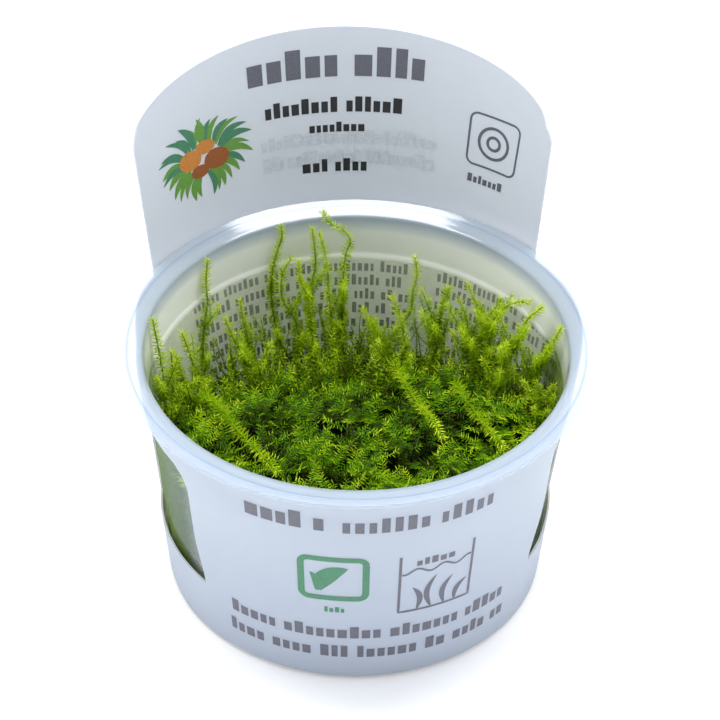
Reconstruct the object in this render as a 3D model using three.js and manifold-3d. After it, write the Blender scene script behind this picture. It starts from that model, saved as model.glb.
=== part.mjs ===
// A tub of stringy aquarium moss, as grown in tissue culture and sold.
// A clear flanged cup is packed with a cushion of fine moss, with longer shoots standing up
// round its back and sides. A card sleeve is wrapped round the cup: it has a window at each
// side, and its rear panel rises behind the rim as a tall arched tab.
// Millimetres, +Z up. The sleeve's front faces -Y, and the origin is the middle of the foot.
// An azimuth is in degrees from the front, growing towards +X.
import * as THREE from 'three';
import { mergeVertices } from 'three/addons/utils/BufferGeometryUtils.js';
import Module from 'manifold-3d';

const wasm = await Module();
wasm.setup();

// Cup
const RIM_RADIUS = 50.5;
const RIM_HEIGHT = 58.5;
const FLANGE_THICKNESS = 0.9;
const FLANGE_EDGE_ROUNDING = 0.25;
const LIP_OUTER_RADIUS = 46.8;
const LIP_CREST_DROP = 0.14;
const LIP_INNER_DROP = 0.9;
const WALL = 0.75;
const FOOT_RADIUS = 40;
const FOOT_CORNER = 1.5;
const FOOT_CORNER_CUT = 0.45;
const FLOOR_THICKNESS = 0.8;
const WALL_SLOPE = 0.0863;
const SHOULDER_HEIGHT = 47.5;
const SHOULDER_RISE = 1.1;
const SHOULDER_STEP = 0.6;
const COLLAR_SLOPE = 0.09;
const CUP_SEGMENTS = 48;

// Card sleeve
const CARD = 0.4;
const SLEEVE_FOOT_RADIUS = 40.4;
const SLEEVE_BOTTOM = 1;
const FRONT_TOP = 55.9;
const FRONT_SLOPE = 0.1;
const TAB_SLOPE = 0.1805;
const FLARE_LEFT_STARTS = 95;
const FLARE_LEFT_ENDS = 125;
const FLARE_RIGHT_STARTS = 70;
const FLARE_RIGHT_ENDS = 115;
const TAB_CENTRE = 178.8;
const TAB_HALF_ANGLE = 55;
const TAB_NARROWING = 0.00123;
const TAB_TOP = 99.4;
const TAB_SHOULDER = 87;
const ARCH_CENTRE = 181.3;
const ARCH_LEFT_HALF_ANGLE = 53.5;
const ARCH_RIGHT_HALF_ANGLE = 55;
const TAB_CORNER_DROP = 3;
const TAB_CORNER_SPAN = 4;
const FRONT_ROWS = 4;
const WINDOW_ROWS = [1, 2];
const TAB_ROWS = 3;
const WINDOW_BOTTOM = 16;
const WINDOW_TOP = 47.5;
const WINDOW_CORNER = 6;
const WINDOW_LEFT_FRONT = -56.5;
const WINDOW_RIGHT_FRONT = 59.5;
const WINDOW_LEFT_REAR = -98;
const WINDOW_RIGHT_REAR = 88;
const WINDOW_LEFT_LEAN = 2.5;
const WINDOW_RIGHT_LEAN = -5;
const WINDOW_LEAN_TOP = 30;
const WINDOW_LEAN_REACH = 15;
const COLUMN_STEP = 5;
const WINDOW_CORNER_SHARES = [0, 0.1, 0.35, 1];
const TAB_CORNER_DEGREES = [0, 0.6, 2, 4.5];

// Moss
const MOSS_CLEARANCE = 0.35;
const MOSS_TOP_FRONT = 38;
const MOSS_TOP_BACK = 28;
const MOSS_DIP_STARTS = -5;
const MOSS_DIP_ENDS = 38;
const MOSS_EDGE_DROOP = 1.5;
const MOSS_LUMP = 0.9;
const MOSS_LUMP_SPACING = 18;
const MOSS_LUMP_SKEW = [0.4, 0.3];
const MOSS_SEGMENTS = 24;
const MOSS_RINGS = 4;
const TUFT_COUNT = 72;
const TUFT_SIDES = 5;
const TUFT_RADIUS = 3.2;
const TUFT_RADIUS_SPREAD = 0.2;
const TUFT_HEIGHT = 6.4;
const TUFT_HEIGHT_SPREAD = 0.25;
const TUFT_SUNK = 2.2;
const TUFT_LEAN = 0.5;
const TUFT_EDGE_MARGIN = 4.6;
const SHOOT_SIDES = 5;
const SHOOT_RADIUS = 0.9;
const SHOOT_WAIST = 0.62;
const SHOOT_FOOT_FULLNESS = 0.7;
const SHOOT_MIDDLE_FULLNESS = 0.3;
const SHOOT_TIP_TAPER = 0.35;
const SHOOT_FEWEST_WHORLS = 3;
const SHOOT_WHORL_SPACING = 3.8;
const SHOOT_ROOT_DEPTH = 3;
const SOCKET_GAP = 0.35;
const LYING_SHOOT_RADIUS = 1.1;
const LYING_SHOOT_LIFT = 0.37;
const SEED = 11;

const MERGE_DISTANCE = 1e-4;

// The long shoots that stand up round the back and sides. Each is a row of points from its
// foot, whose height is that of the cushion there, to its tip.
const SHOOTS = [
  [[-39.6, 7.4], [-40.3, 8, 40], [-40.7, 9.6, 47], [-41.7, 11.4, 55], [-42.2, 12.2, 58.5]],
  [[-37.8, 15], [-38.2, 16, 40.5], [-38.4, 16.5, 45.5]],
  [[-34, 16], [-36, 17.2, 38], [-37.3, 18.3, 43]],
  [[-30.5, 17.5], [-33, 18.5, 37], [-34.2, 19.3, 42.5], [-35.7, 20.2, 47.7]],
  [[-30.7, 24], [-31, 27, 37], [-30.6, 28.3, 42.5], [-29.6, 30, 47.7], [-29.7, 31.2, 52.3],
    [-29.2, 32.5, 57.6]],
  [[-12.7, 33.4], [-14.3, 36.3, 36], [-14.9, 38.2, 42], [-14.5, 39.5, 47.4], [-13.4, 40.7, 52],
    [-12.1, 41.5, 56], [-12.3, 42, 58.6]],
  [[-9.5, 30.5], [-9.8, 33.3, 37.5], [-12.6, 36, 42.7], [-12.3, 37.9, 48.4], [-10.3, 39.2, 51.7]],
  [[-6, 26], [-7.1, 29.5, 42], [-7.3, 31.5, 46], [-8.8, 33.7, 49.5], [-9, 35.8, 53.5]],
  [[-5.5, 33], [-6.8, 34.8, 38], [-6.8, 35.8, 41.5], [-5.8, 37.4, 46], [-4.9, 38.9, 50.1],
    [-5.4, 41.6, 57.6]],
  [[-2.2, 28.5], [-2, 30.5, 38], [-2.7, 32.2, 46], [-2.7, 35, 51], [-3.2, 37.4, 54.4],
    [-4.1, 39.7, 57.7]],
  [[0.3, 32.5], [0.6, 34.6, 39], [0.7, 36, 44], [1.7, 38.4, 52.5], [2.8, 39.4, 55.5],
    [1.2, 40.5, 57.6], [-1.5, 41.5, 58.8], [-3, 42.7, 61.2]],
  [[7, 25.5], [10.6, 28, 36], [13.2, 29.2, 38.6], [15.5, 30.6, 41.8], [16.1, 32.3, 45.8],
    [17.1, 33.8, 49.6], [16.7, 35.3, 52.9]],
  [[14.2, 24], [13.1, 26.5, 41], [12.3, 28.9, 43], [11.4, 31.9, 45.1]],
  [[10.5, 22.5], [9, 26, 36.2], [6.7, 28.8, 38.8], [4.9, 31.6, 42.3]],
  [[32.2, 18.8], [31.4, 21.8, 41], [30.6, 23.8, 44.5], [28.8, 26, 47.3], [27.6, 28.1, 50.3]],
  [[30.8, 7.3], [32.5, 8, 41], [34.5, 8.5, 47], [36.3, 8.9, 51.2], [38.2, 9.2, 55.3],
    [41, 9.4, 57.8]],
  [[37.8, 5.8], [39.2, 4.8, 42], [40.8, 3.3, 48.4], [42.3, 1.9, 54.1], [43.6, 0.6, 59]],
  [[19.6, 23.6], [20.6, 25.8, 37.3], [21.4, 27.5, 41], [22.4, 29.2, 44.7], [23.4, 30.5, 47.5]],
  [[27.4, 15.6], [29.3, 18.8, 42.4], [30.5, 20.5, 45.5], [32.4, 21.8, 47.6], [34.4, 23, 49.7]],
  [[30.6, 12.2], [31, 15.8, 46], [32, 16.6, 49.5], [34, 17, 52], [36.6, 17.2, 53.1],
    [39.4, 17.2, 53]],
  [[27.6, 20.2], [27.3, 23.1, 40.8], [26.8, 25.1, 44], [25.6, 27.3, 46.8]],
  [[38.9, -2.8], [40.6, -2.3, 41], [41.6, -1.8, 44.4]],
  [[-19.5, 26.5], [-20.5, 28.5, 34.3], [-21.2, 30, 37.1], [-21.7, 31.9, 41.3], [-22.2, 33.7, 45]],
  [[-19.2, 22.4], [-21.2, 24.4, 33.6], [-22.9, 26, 36.6], [-24.5, 27.6, 40.2], [-25.8, 29.1, 43.9]],
];

// Long shoots that have fallen over the cushion, each a row of points in plan
const LYING_SHOOTS = [
  [[-31.5, 15], [-27, 9.5], [-24, 3.5], [-19.5, -6], [-18, -10]],
  [[25, 9.5], [28, 3], [30.5, -3.5], [33, -9]],
  [[10.5, 15], [14, 10.5], [17, 6], [21.5, -2]],
];

const COLOURS = {
  cup: { color: 0xeef2f7, roughness: 0.18, metalness: 0, transparent: true, opacity: 0.35 },
  card: { color: 0xdfe4ef, roughness: 0.6, metalness: 0 },
  cushion: { color: 0x4f8a10, roughness: 0.75, metalness: 0 },
  shoot: { color: 0xa3c41c, roughness: 0.65, metalness: 0 },
};

// A repeatable random number between 0 and 1
let randomState = SEED;
function random() {
  randomState = (randomState * 16807) % 2147483647;
  return randomState / 2147483647;
}

function spread(middle, share) {
  return middle * (1 + share * (2 * random() - 1));
}

function smoothStep(from, to, value) {
  const t = Math.min(1, Math.max(0, (value - from) / (to - from)));
  return t * t * (3 - 2 * t);
}

// Solids

function geometryOf(positions, triangles) {
  const geometry = new THREE.BufferGeometry();
  geometry.setAttribute('position', new THREE.Float32BufferAttribute(positions, 3));
  geometry.setIndex(triangles);
  return geometry;
}

function signedVolume(positions, triangles) {
  const corner = (i) => new THREE.Vector3().fromArray(positions, 3 * triangles[i]);
  let sum = 0;
  for (let i = 0; i < triangles.length; i += 3) {
    sum += corner(i).dot(corner(i + 1).cross(corner(i + 2)));
  }
  return sum / 6;
}

// Shared vertices are merged, triangles with no area at a pole are dropped, and a shape that
// came out inside out is turned.
function closed(geometry) {
  const bare = geometry.clone();
  bare.deleteAttribute('normal');
  bare.deleteAttribute('uv');
  const merged = mergeVertices(bare, MERGE_DISTANCE);
  const positions = Array.from(merged.getAttribute('position').array);
  const index = merged.getIndex().array;
  let triangles = [];
  for (let i = 0; i < index.length; i += 3) {
    const [a, b, c] = [index[i], index[i + 1], index[i + 2]];
    if (a !== b && b !== c && c !== a) {
      triangles.push(a, b, c);
    }
  }
  if (signedVolume(positions, triangles) < 0) {
    triangles = triangles.reverse();
  }
  return geometryOf(positions, triangles);
}

function solidOf(geometry) {
  const shape = closed(geometry);
  return new wasm.Manifold(new wasm.Mesh({
    numProp: 3,
    vertProperties: new Float32Array(shape.getAttribute('position').array),
    triVerts: new Uint32Array(shape.getIndex().array),
  }));
}

function geometryOfSolid(solid) {
  const mesh = solid.getMesh();
  return geometryOf(Array.from(mesh.vertProperties), Array.from(mesh.triVerts));
}

function named(name, geometry, finish) {
  const faceted = geometry.toNonIndexed();
  faceted.computeVertexNormals();
  const mesh = new THREE.Mesh(faceted, new THREE.MeshStandardMaterial(finish));
  mesh.name = name;
  return mesh;
}

// A turned shape about Z, from a profile of [radius, height] pairs
function turned(profile, segments) {
  const points = profile.map(([r, z]) => new THREE.Vector2(r, z));
  return new THREE.LatheGeometry(points, segments).rotateX(Math.PI / 2);
}

// Cup

function cupOutside(z) {
  if (z < SHOULDER_HEIGHT + SHOULDER_RISE) {
    return FOOT_RADIUS + WALL_SLOPE * Math.min(z, SHOULDER_HEIGHT);
  }
  const collarFoot = FOOT_RADIUS + WALL_SLOPE * SHOULDER_HEIGHT + SHOULDER_STEP;
  return collarFoot + COLLAR_SLOPE * (z - SHOULDER_HEIGHT - SHOULDER_RISE);
}

function cupInside(z) {
  return cupOutside(z) - WALL;
}

function cupGeometry() {
  const flangeUnderside = RIM_HEIGHT - FLANGE_THICKNESS;
  const shoulderTop = SHOULDER_HEIGHT + SHOULDER_RISE;
  const lipRadius = cupInside(RIM_HEIGHT - LIP_INNER_DROP);
  const outside = [
    [0, 0],
    [FOOT_RADIUS - FOOT_CORNER, 0],
    [FOOT_RADIUS - FOOT_CORNER_CUT, FOOT_CORNER_CUT],
    [cupOutside(FOOT_CORNER), FOOT_CORNER],
    [cupOutside(SHOULDER_HEIGHT), SHOULDER_HEIGHT],
    [cupOutside(shoulderTop), shoulderTop],
    [cupOutside(flangeUnderside), flangeUnderside],
  ];
  const rim = [
    [RIM_RADIUS - FLANGE_EDGE_ROUNDING, flangeUnderside],
    [RIM_RADIUS, flangeUnderside + FLANGE_EDGE_ROUNDING],
    [RIM_RADIUS, RIM_HEIGHT - FLANGE_EDGE_ROUNDING],
    [RIM_RADIUS - FLANGE_EDGE_ROUNDING, RIM_HEIGHT],
    [LIP_OUTER_RADIUS, RIM_HEIGHT],
    [(LIP_OUTER_RADIUS + lipRadius) / 2, RIM_HEIGHT - LIP_CREST_DROP],
    [lipRadius, RIM_HEIGHT - LIP_INNER_DROP],
  ];
  const inside = [
    [cupInside(shoulderTop), shoulderTop],
    [cupInside(SHOULDER_HEIGHT), SHOULDER_HEIGHT],
    [cupInside(FLOOR_THICKNESS + FOOT_CORNER), FLOOR_THICKNESS + FOOT_CORNER],
    [cupInside(FLOOR_THICKNESS) - FOOT_CORNER, FLOOR_THICKNESS],
    [0, FLOOR_THICKNESS],
  ];
  return closed(turned([...outside, ...rim, ...inside], CUP_SEGMENTS));
}

// Card sleeve

// Degrees from one azimuth round to another, between -180 and 180
function degreesFrom(centre, azimuth) {
  return ((azimuth - centre + 540) % 360) - 180;
}

// Radius of the card's inner face: it hugs the cup in front, and flares out behind to pass
// outside the flange.
function cardInside(azimuth, z) {
  const turn = degreesFrom(0, azimuth);
  const flare = turn < 0
    ? smoothStep(FLARE_LEFT_STARTS, FLARE_LEFT_ENDS, -turn)
    : smoothStep(FLARE_RIGHT_STARTS, FLARE_RIGHT_ENDS, turn);
  return SLEEVE_FOOT_RADIUS + (FRONT_SLOPE + (TAB_SLOPE - FRONT_SLOPE) * flare) * z;
}

// Each window's front edge leans forward at its foot, and the columns beside it follow.
function leaned(azimuth, z) {
  const front = azimuth < 0 ? WINDOW_LEFT_FRONT : WINDOW_RIGHT_FRONT;
  const lean = azimuth < 0 ? WINDOW_LEFT_LEAN : WINDOW_RIGHT_LEAN;
  const near = Math.max(0, 1 - Math.abs(azimuth - front) / WINDOW_LEAN_REACH);
  return azimuth + lean * near * (1 - smoothStep(WINDOW_BOTTOM, WINDOW_LEAN_TOP, z));
}

// The tab's sides lean inwards as they rise.
function narrowed(azimuth, z) {
  const lost = TAB_NARROWING * Math.max(0, z - FRONT_TOP);
  return azimuth - lost * degreesFrom(TAB_CENTRE, azimuth);
}

// The arch is made of two quarter ellipses, with its crown a little to the left of the tab's
// middle, and drops at each corner.
function tabTop(azimuth) {
  const turn = degreesFrom(ARCH_CENTRE, azimuth);
  const half = turn < 0 ? ARCH_RIGHT_HALF_ANGLE : ARCH_LEFT_HALF_ANGLE;
  const across = Math.min(1, Math.abs(turn) / half);
  const inward = Math.max(0, TAB_HALF_ANGLE - Math.abs(degreesFrom(TAB_CENTRE, azimuth)));
  const corner = Math.max(0, 1 - inward / TAB_CORNER_SPAN) ** 3;
  return TAB_SHOULDER + (TAB_TOP - TAB_SHOULDER) * Math.sqrt(1 - across ** 2)
    - TAB_CORNER_DROP * corner;
}

// The window's top edge comes down in a quarter circle at its front corner.
function windowTop(azimuth) {
  const front = azimuth < 0 ? -WINDOW_LEFT_FRONT : WINDOW_RIGHT_FRONT;
  const millimetresPerDegree = (cardInside(front, WINDOW_TOP) * Math.PI) / 180;
  const along = (Math.abs(azimuth) - front) * millimetresPerDegree;
  if (along < 0 || along > WINDOW_CORNER) {
    return WINDOW_TOP;
  }
  const short = WINDOW_CORNER - along;
  return WINDOW_TOP - WINDOW_CORNER + Math.sqrt(WINDOW_CORNER ** 2 - short ** 2);
}

function sleeveColumns() {
  const cornerAngle = (WINDOW_CORNER / cardInside(0, WINDOW_TOP)) * (180 / Math.PI);
  const fixed = [
    ...WINDOW_CORNER_SHARES.map((share) => WINDOW_LEFT_FRONT - share * cornerAngle),
    ...WINDOW_CORNER_SHARES.map((share) => WINDOW_RIGHT_FRONT + share * cornerAngle),
    WINDOW_LEFT_REAR,
    WINDOW_RIGHT_REAR,
    ...TAB_CORNER_DEGREES.map((inward) => TAB_CENTRE - TAB_HALF_ANGLE + inward),
    ...TAB_CORNER_DEGREES.map((inward) => TAB_CENTRE + TAB_HALF_ANGLE - inward - 360),
  ];
  const even = [];
  for (let azimuth = -180; azimuth < 180; azimuth += COLUMN_STEP) {
    if (fixed.every((other) => Math.abs(other - azimuth) > COLUMN_STEP / 4)) {
      even.push(azimuth);
    }
  }
  return [...fixed, ...even].sort((a, b) => a - b);
}

function sleeveRowHeights(azimuth) {
  const rows = [SLEEVE_BOTTOM, WINDOW_BOTTOM, (WINDOW_BOTTOM + WINDOW_TOP) / 2,
    windowTop(azimuth), FRONT_TOP];
  for (let row = 1; row <= TAB_ROWS; row += 1) {
    rows.push(FRONT_TOP + ((tabTop(azimuth) - FRONT_TOP) * row) / TAB_ROWS);
  }
  return rows;
}

function hasCard(azimuth, row) {
  const inWindow = (azimuth > WINDOW_LEFT_REAR && azimuth < WINDOW_LEFT_FRONT)
    || (azimuth > WINDOW_RIGHT_FRONT && azimuth < WINDOW_RIGHT_REAR);
  if (row >= FRONT_ROWS) {
    return Math.abs(degreesFrom(TAB_CENTRE, azimuth)) < TAB_HALF_ANGLE;
  }
  return !(inWindow && WINDOW_ROWS.includes(row));
}

function sleeveGeometry() {
  const columns = sleeveColumns();
  const rowCount = sleeveRowHeights(0).length;
  const positions = [];
  for (const azimuth of columns) {
    for (const z of sleeveRowHeights(azimuth)) {
      const place = narrowed(leaned(azimuth, z), z);
      const angle = THREE.MathUtils.degToRad(place);
      for (const thickness of [0, CARD]) {
        const radius = cardInside(place, z) + thickness;
        positions.push(radius * Math.sin(angle), -radius * Math.cos(angle), z);
      }
    }
  }
  const count = columns.length;
  const vertex = (column, row, outer) => 2 * (((column + count) % count) * rowCount + row) + outer;
  const present = (column, row) => {
    if (row < 0 || row > rowCount - 2) {
      return false;
    }
    const from = columns[(column + count) % count];
    const to = columns[(column + 1 + count) % count];
    const middle = from + ((to - from + 360) % 360) / 2;
    return hasCard(middle > 180 ? middle - 360 : middle, row);
  };
  const triangles = [];
  const quad = (a, b, c, d) => triangles.push(a, b, c, a, c, d);
  for (let i = 0; i < count; i += 1) {
    for (let j = 0; j < rowCount - 1; j += 1) {
      if (present(i, j)) {
        const corners = [[i, j], [i + 1, j], [i + 1, j + 1], [i, j + 1]];
        const neighbours = [[i, j - 1], [i + 1, j], [i, j + 1], [i - 1, j]];
        const outer = corners.map(([c, r]) => vertex(c, r, 1));
        const inner = corners.map(([c, r]) => vertex(c, r, 0));
        quad(...outer);
        quad(...inner.slice().reverse());
        for (let side = 0; side < 4; side += 1) {
          const next = (side + 1) % 4;
          if (!present(...neighbours[side])) {
            quad(outer[next], outer[side], inner[side], inner[next]);
          }
        }
      }
    }
  }
  return closed(geometryOf(positions, triangles));
}

// Moss

function mossHeight(x, y) {
  const dip = (MOSS_TOP_FRONT - MOSS_TOP_BACK) * smoothStep(MOSS_DIP_STARTS, MOSS_DIP_ENDS, y);
  const fromMiddle = Math.hypot(x, y) / FOOT_RADIUS;
  const wave = (2 * Math.PI) / MOSS_LUMP_SPACING;
  const [skewX, skewY] = MOSS_LUMP_SKEW;
  const lump = Math.sin(wave * (x + skewX * y)) * Math.cos(wave * (y - skewY * x));
  return MOSS_TOP_FRONT - dip - MOSS_EDGE_DROOP * fromMiddle ** 2 + MOSS_LUMP * lump;
}

function mossBody() {
  const floor = FLOOR_THICKNESS + MOSS_CLEARANCE;
  const radiusAt = (z) => cupInside(z) - MOSS_CLEARANCE;
  const waist = (floor + MOSS_TOP_BACK) / 2;
  const wall = [
    [0, floor],
    [radiusAt(floor) - FOOT_CORNER, floor],
    [radiusAt(floor + FOOT_CORNER), floor + FOOT_CORNER],
    [radiusAt(waist), waist],
  ];
  const top = [];
  for (let ring = MOSS_RINGS; ring >= 0; ring -= 1) {
    top.push([(radiusAt(MOSS_TOP_BACK) * ring) / MOSS_RINGS, MOSS_TOP_BACK]);
  }
  const geometry = turned([...wall, ...top], MOSS_SEGMENTS);
  const position = geometry.getAttribute('position');
  const perSegment = wall.length + top.length;
  for (let i = 0; i < position.count; i += 1) {
    if (i % perSegment >= wall.length) {
      position.setZ(i, mossHeight(position.getX(i), position.getY(i)));
    }
  }
  return solidOf(geometry);
}

function tuft(x, y) {
  const radius = spread(TUFT_RADIUS, TUFT_RADIUS_SPREAD);
  const height = spread(TUFT_HEIGHT, TUFT_HEIGHT_SPREAD);
  const geometry = new THREE.ConeGeometry(radius, height, TUFT_SIDES);
  geometry.translate(0, height / 2 - TUFT_SUNK, 0);
  geometry.rotateX(Math.PI / 2);
  geometry.rotateX(TUFT_LEAN * (2 * random() - 1));
  geometry.rotateY(TUFT_LEAN * (2 * random() - 1));
  geometry.rotateZ(2 * Math.PI * random());
  geometry.translate(x, y, mossHeight(x, y));
  return solidOf(geometry);
}

function tufts() {
  const goldenAngle = Math.PI * (3 - Math.sqrt(5));
  const reach = cupInside(MOSS_TOP_BACK) - TUFT_EDGE_MARGIN;
  const solids = [];
  for (let i = 0; i < TUFT_COUNT; i += 1) {
    const radius = reach * Math.sqrt((i + 0.5) / TUFT_COUNT);
    solids.push(tuft(radius * Math.cos(i * goldenAngle), radius * Math.sin(i * goldenAngle)));
  }
  return solids;
}

// A turned spindle bent along a curve through the given points. The profile is a row of
// [share of the length, radius] pairs.
function bentSpindle(points, profile, sides) {
  const curve = new THREE.CatmullRomCurve3(points, false, 'centripetal');
  const spindle = turned(profile.map(([share, radius]) => [radius, share]), sides);
  const position = spindle.getAttribute('position');
  for (let i = 0; i < position.count; i += 1) {
    const share = Math.min(1, Math.max(0, position.getZ(i)));
    const tangent = curve.getTangentAt(share);
    const across = new THREE.Vector3(0, 1, 0).cross(tangent).normalize();
    const out = tangent.clone().cross(across);
    const place = curve.getPointAt(share)
      .addScaledVector(across, position.getX(i))
      .addScaledVector(out, position.getY(i));
    position.setXYZ(i, place.x, place.y, place.z);
  }
  return closed(spindle);
}

function lengthOf(points) {
  return new THREE.CatmullRomCurve3(points, false, 'centripetal').getLength();
}

// The whorls of leaves show as a row of swellings, thickest in the middle of the shoot.
function shootGeometry(points, radius) {
  const whorls = Math.max(SHOOT_FEWEST_WHORLS, Math.round(lengthOf(points) / SHOOT_WHORL_SPACING));
  const profile = [[0, 0]];
  for (let step = 0; step <= 2 * whorls - 1; step += 1) {
    const share = step / (2 * whorls);
    const fullness = SHOOT_FOOT_FULLNESS + SHOOT_MIDDLE_FULLNESS * Math.sin(Math.PI * share)
      - SHOOT_TIP_TAPER * share ** 3;
    const swelling = step % 2 === 1 ? 1 : SHOOT_WAIST;
    profile.push([share, radius * fullness * swelling]);
  }
  profile.push([1, 0]);
  return bentSpindle(points, profile, SHOOT_SIDES);
}

function shootPoints(row) {
  const [[x, y], ...rest] = row;
  const foot = new THREE.Vector3(x, y, mossHeight(x, y) - SHOOT_ROOT_DEPTH);
  return [foot, ...rest.map((point) => new THREE.Vector3(...point))];
}

// The room that a shoot needs where it stands in the cushion
function socket(points) {
  const direction = points[1].clone().sub(points[0]).normalize();
  const below = points[0].clone().addScaledVector(direction, -SOCKET_GAP);
  const radius = SHOOT_RADIUS + SOCKET_GAP;
  const path = [below, ...points.slice(1)];
  return solidOf(bentSpindle(path, [[0, 0], [0, radius], [0.25, radius], [0.5, radius],
    [1, radius], [1, 0]], SHOOT_SIDES));
}

function lyingShoot(row) {
  const points = row.map(([x, y]) => new THREE.Vector3(x, y, mossHeight(x, y) + LYING_SHOOT_LIFT));
  return solidOf(shootGeometry(points, LYING_SHOOT_RADIUS));
}

function cushionGeometry(shoots) {
  const grown = wasm.Manifold.union([mossBody(), ...tufts(), ...LYING_SHOOTS.map(lyingShoot)]);
  const sockets = wasm.Manifold.union(shoots.map(socket));
  return geometryOfSolid(grown.subtract(sockets));
}

const shootPaths = SHOOTS.map(shootPoints);
const tub = new THREE.Group();
tub.add(named('cup', cupGeometry(), COLOURS.cup));
tub.add(named('label_sleeve', sleeveGeometry(), COLOURS.card));
tub.add(named('moss_cushion', cushionGeometry(shootPaths), COLOURS.cushion));
shootPaths.forEach((points, i) => {
  const number = String(i + 1).padStart(2, '0');
  tub.add(named(`moss_shoot_${number}`, shootGeometry(points, SHOOT_RADIUS), COLOURS.shoot));
});

export default tub;
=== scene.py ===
"""A tub of stringy aquarium moss, as grown in tissue culture and sold.

A clear flanged cup is packed with fine leafy stems. A printed card sleeve is wrapped round it,
with a window at each side and a tall arched tab behind the rim. Sizes in the classes are
millimetres and turn to metres where a mesh is made. The sleeve's front faces -Y, and an azimuth
is in degrees from the front, growing towards +X.
"""

import logging
import math
from dataclasses import dataclass, field
from enum import Enum
from typing import Any, Iterable, Sequence

import bpy
import numpy as np
from mathutils import Matrix, Vector, noise


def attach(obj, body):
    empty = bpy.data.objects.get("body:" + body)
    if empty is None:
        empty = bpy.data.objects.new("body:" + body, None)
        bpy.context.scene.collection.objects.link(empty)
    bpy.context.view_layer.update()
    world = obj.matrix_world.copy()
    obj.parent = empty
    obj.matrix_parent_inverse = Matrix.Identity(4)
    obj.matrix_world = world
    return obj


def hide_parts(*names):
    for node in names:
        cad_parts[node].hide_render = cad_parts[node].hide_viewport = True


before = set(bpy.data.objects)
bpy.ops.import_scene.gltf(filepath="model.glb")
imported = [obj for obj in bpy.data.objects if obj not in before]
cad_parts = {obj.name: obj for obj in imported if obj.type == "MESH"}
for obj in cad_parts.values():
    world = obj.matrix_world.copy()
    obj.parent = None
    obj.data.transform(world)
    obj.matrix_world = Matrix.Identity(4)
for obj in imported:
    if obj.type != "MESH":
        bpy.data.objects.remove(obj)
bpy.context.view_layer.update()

MM = 0.001
GOLDEN_ANGLE = math.pi * (3 - math.sqrt(5))
LOG = logging.getLogger("moss_tub")

Colour = tuple[float, float, float, float]
Pair = tuple[float, float]
Point = tuple[float, float, float]
Tree = bpy.types.NodeTree
Socket = bpy.types.NodeSocket


# Shared helpers


def linear(code: str) -> Colour:
    """Turn an sRGB hex code, such as "#a0c020", to a linear colour with an alpha of 1."""
    parts = [int(code[i : i + 2], 16) / 255 for i in (1, 3, 5)]
    red, green, blue = (c / 12.92 if c <= 0.04045 else ((c + 0.055) / 1.055) ** 2.4 for c in parts)
    return red, green, blue, 1.0


def smooth_step(start: float, end: float, value: Any) -> Any:
    """Give how far a number or an array has risen, smoothly, from 0 at start to 1 at end."""
    t = np.clip((value - start) / (end - start), 0.0, 1.0)
    return t * t * (3 - 2 * t)


def polar(azimuth: float, radius: float, z: float) -> Point:
    """Give the point at an azimuth in degrees, a radius and a height."""
    angle = math.radians(azimuth)
    return radius * math.sin(angle), -radius * math.cos(angle), z


def degrees_from(centre: float, azimuth: float) -> float:
    """Give the degrees from one azimuth round to another, between -180 and 180."""
    return (azimuth - centre + 540) % 360 - 180


def mesh_piece(
    name: str,
    vertices: Sequence[Sequence[float]],
    faces: Sequence[Sequence[int]],
    material: bpy.types.Material,
    sharp_degrees: float = 180.0,
) -> bpy.types.Object:
    """Make a smooth-shaded mesh object from points in millimetres.

    Args:
        name: The piece's name.
        vertices: Points in millimetres.
        faces: Corner indices of each face, anticlockwise from outside.
        material: The piece's finish.
        sharp_degrees: Edges that turn by more than this stay sharp.

    Returns:
        The new object, at the origin.
    """
    mesh = bpy.data.meshes.new(name)
    mesh.from_pydata([tuple(c * MM for c in v) for v in vertices], [], faces)
    mesh.shade_smooth()
    if sharp_degrees < 180:
        mesh.set_sharp_from_angle(angle=math.radians(sharp_degrees))
    mesh.materials.append(material)
    piece = bpy.data.objects.new(name, mesh)
    bpy.context.scene.collection.objects.link(piece)
    return piece


def paint(mesh: bpy.types.Mesh, name: str, values: Any) -> None:
    """Store one number for each vertex of a mesh under a name."""
    mesh.attributes.new(name, "FLOAT", "POINT").data.foreach_set("value", values)


def dress(piece: bpy.types.Object, nodes: Iterable[str] = ()) -> None:
    """Attach a finished piece to the object and report it.

    Args:
        piece: The piece, in its place.
        nodes: The CAD nodes that it stands for.
    """
    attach(piece, "root")
    names = list(nodes)
    if names:
        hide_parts(*names)
    LOG.info("%s: %d faces, replaces %s", piece.name, len(piece.data.polygons), names or "nothing")


# Node helpers


def add_node(tree: Tree, kind: str, feeds: dict | None = None, **settings: Any) -> bpy.types.Node:
    """Add a node to a tree, with its settings and what feeds its inputs.

    Args:
        tree: The tree that the node goes in.
        kind: The node's type name.
        feeds: Input name or index to a plain value, or to the output socket that is linked to it.
        settings: Properties of the node.

    Returns:
        The new node.
    """
    node = tree.nodes.new(kind)
    for name, value in settings.items():
        setattr(node, name, value)
    for key, feed in (feeds or {}).items():
        if isinstance(feed, Socket):
            tree.links.new(feed, node.inputs[key])
        else:
            node.inputs[key].default_value = feed
    return node


def new_material(name: str) -> tuple[bpy.types.Material, Tree]:
    """Make an empty node material and return it with its tree."""
    material = bpy.data.materials.new(name)
    material.use_nodes = True
    material.node_tree.nodes.clear()
    return material, material.node_tree


# Finishes


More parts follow.
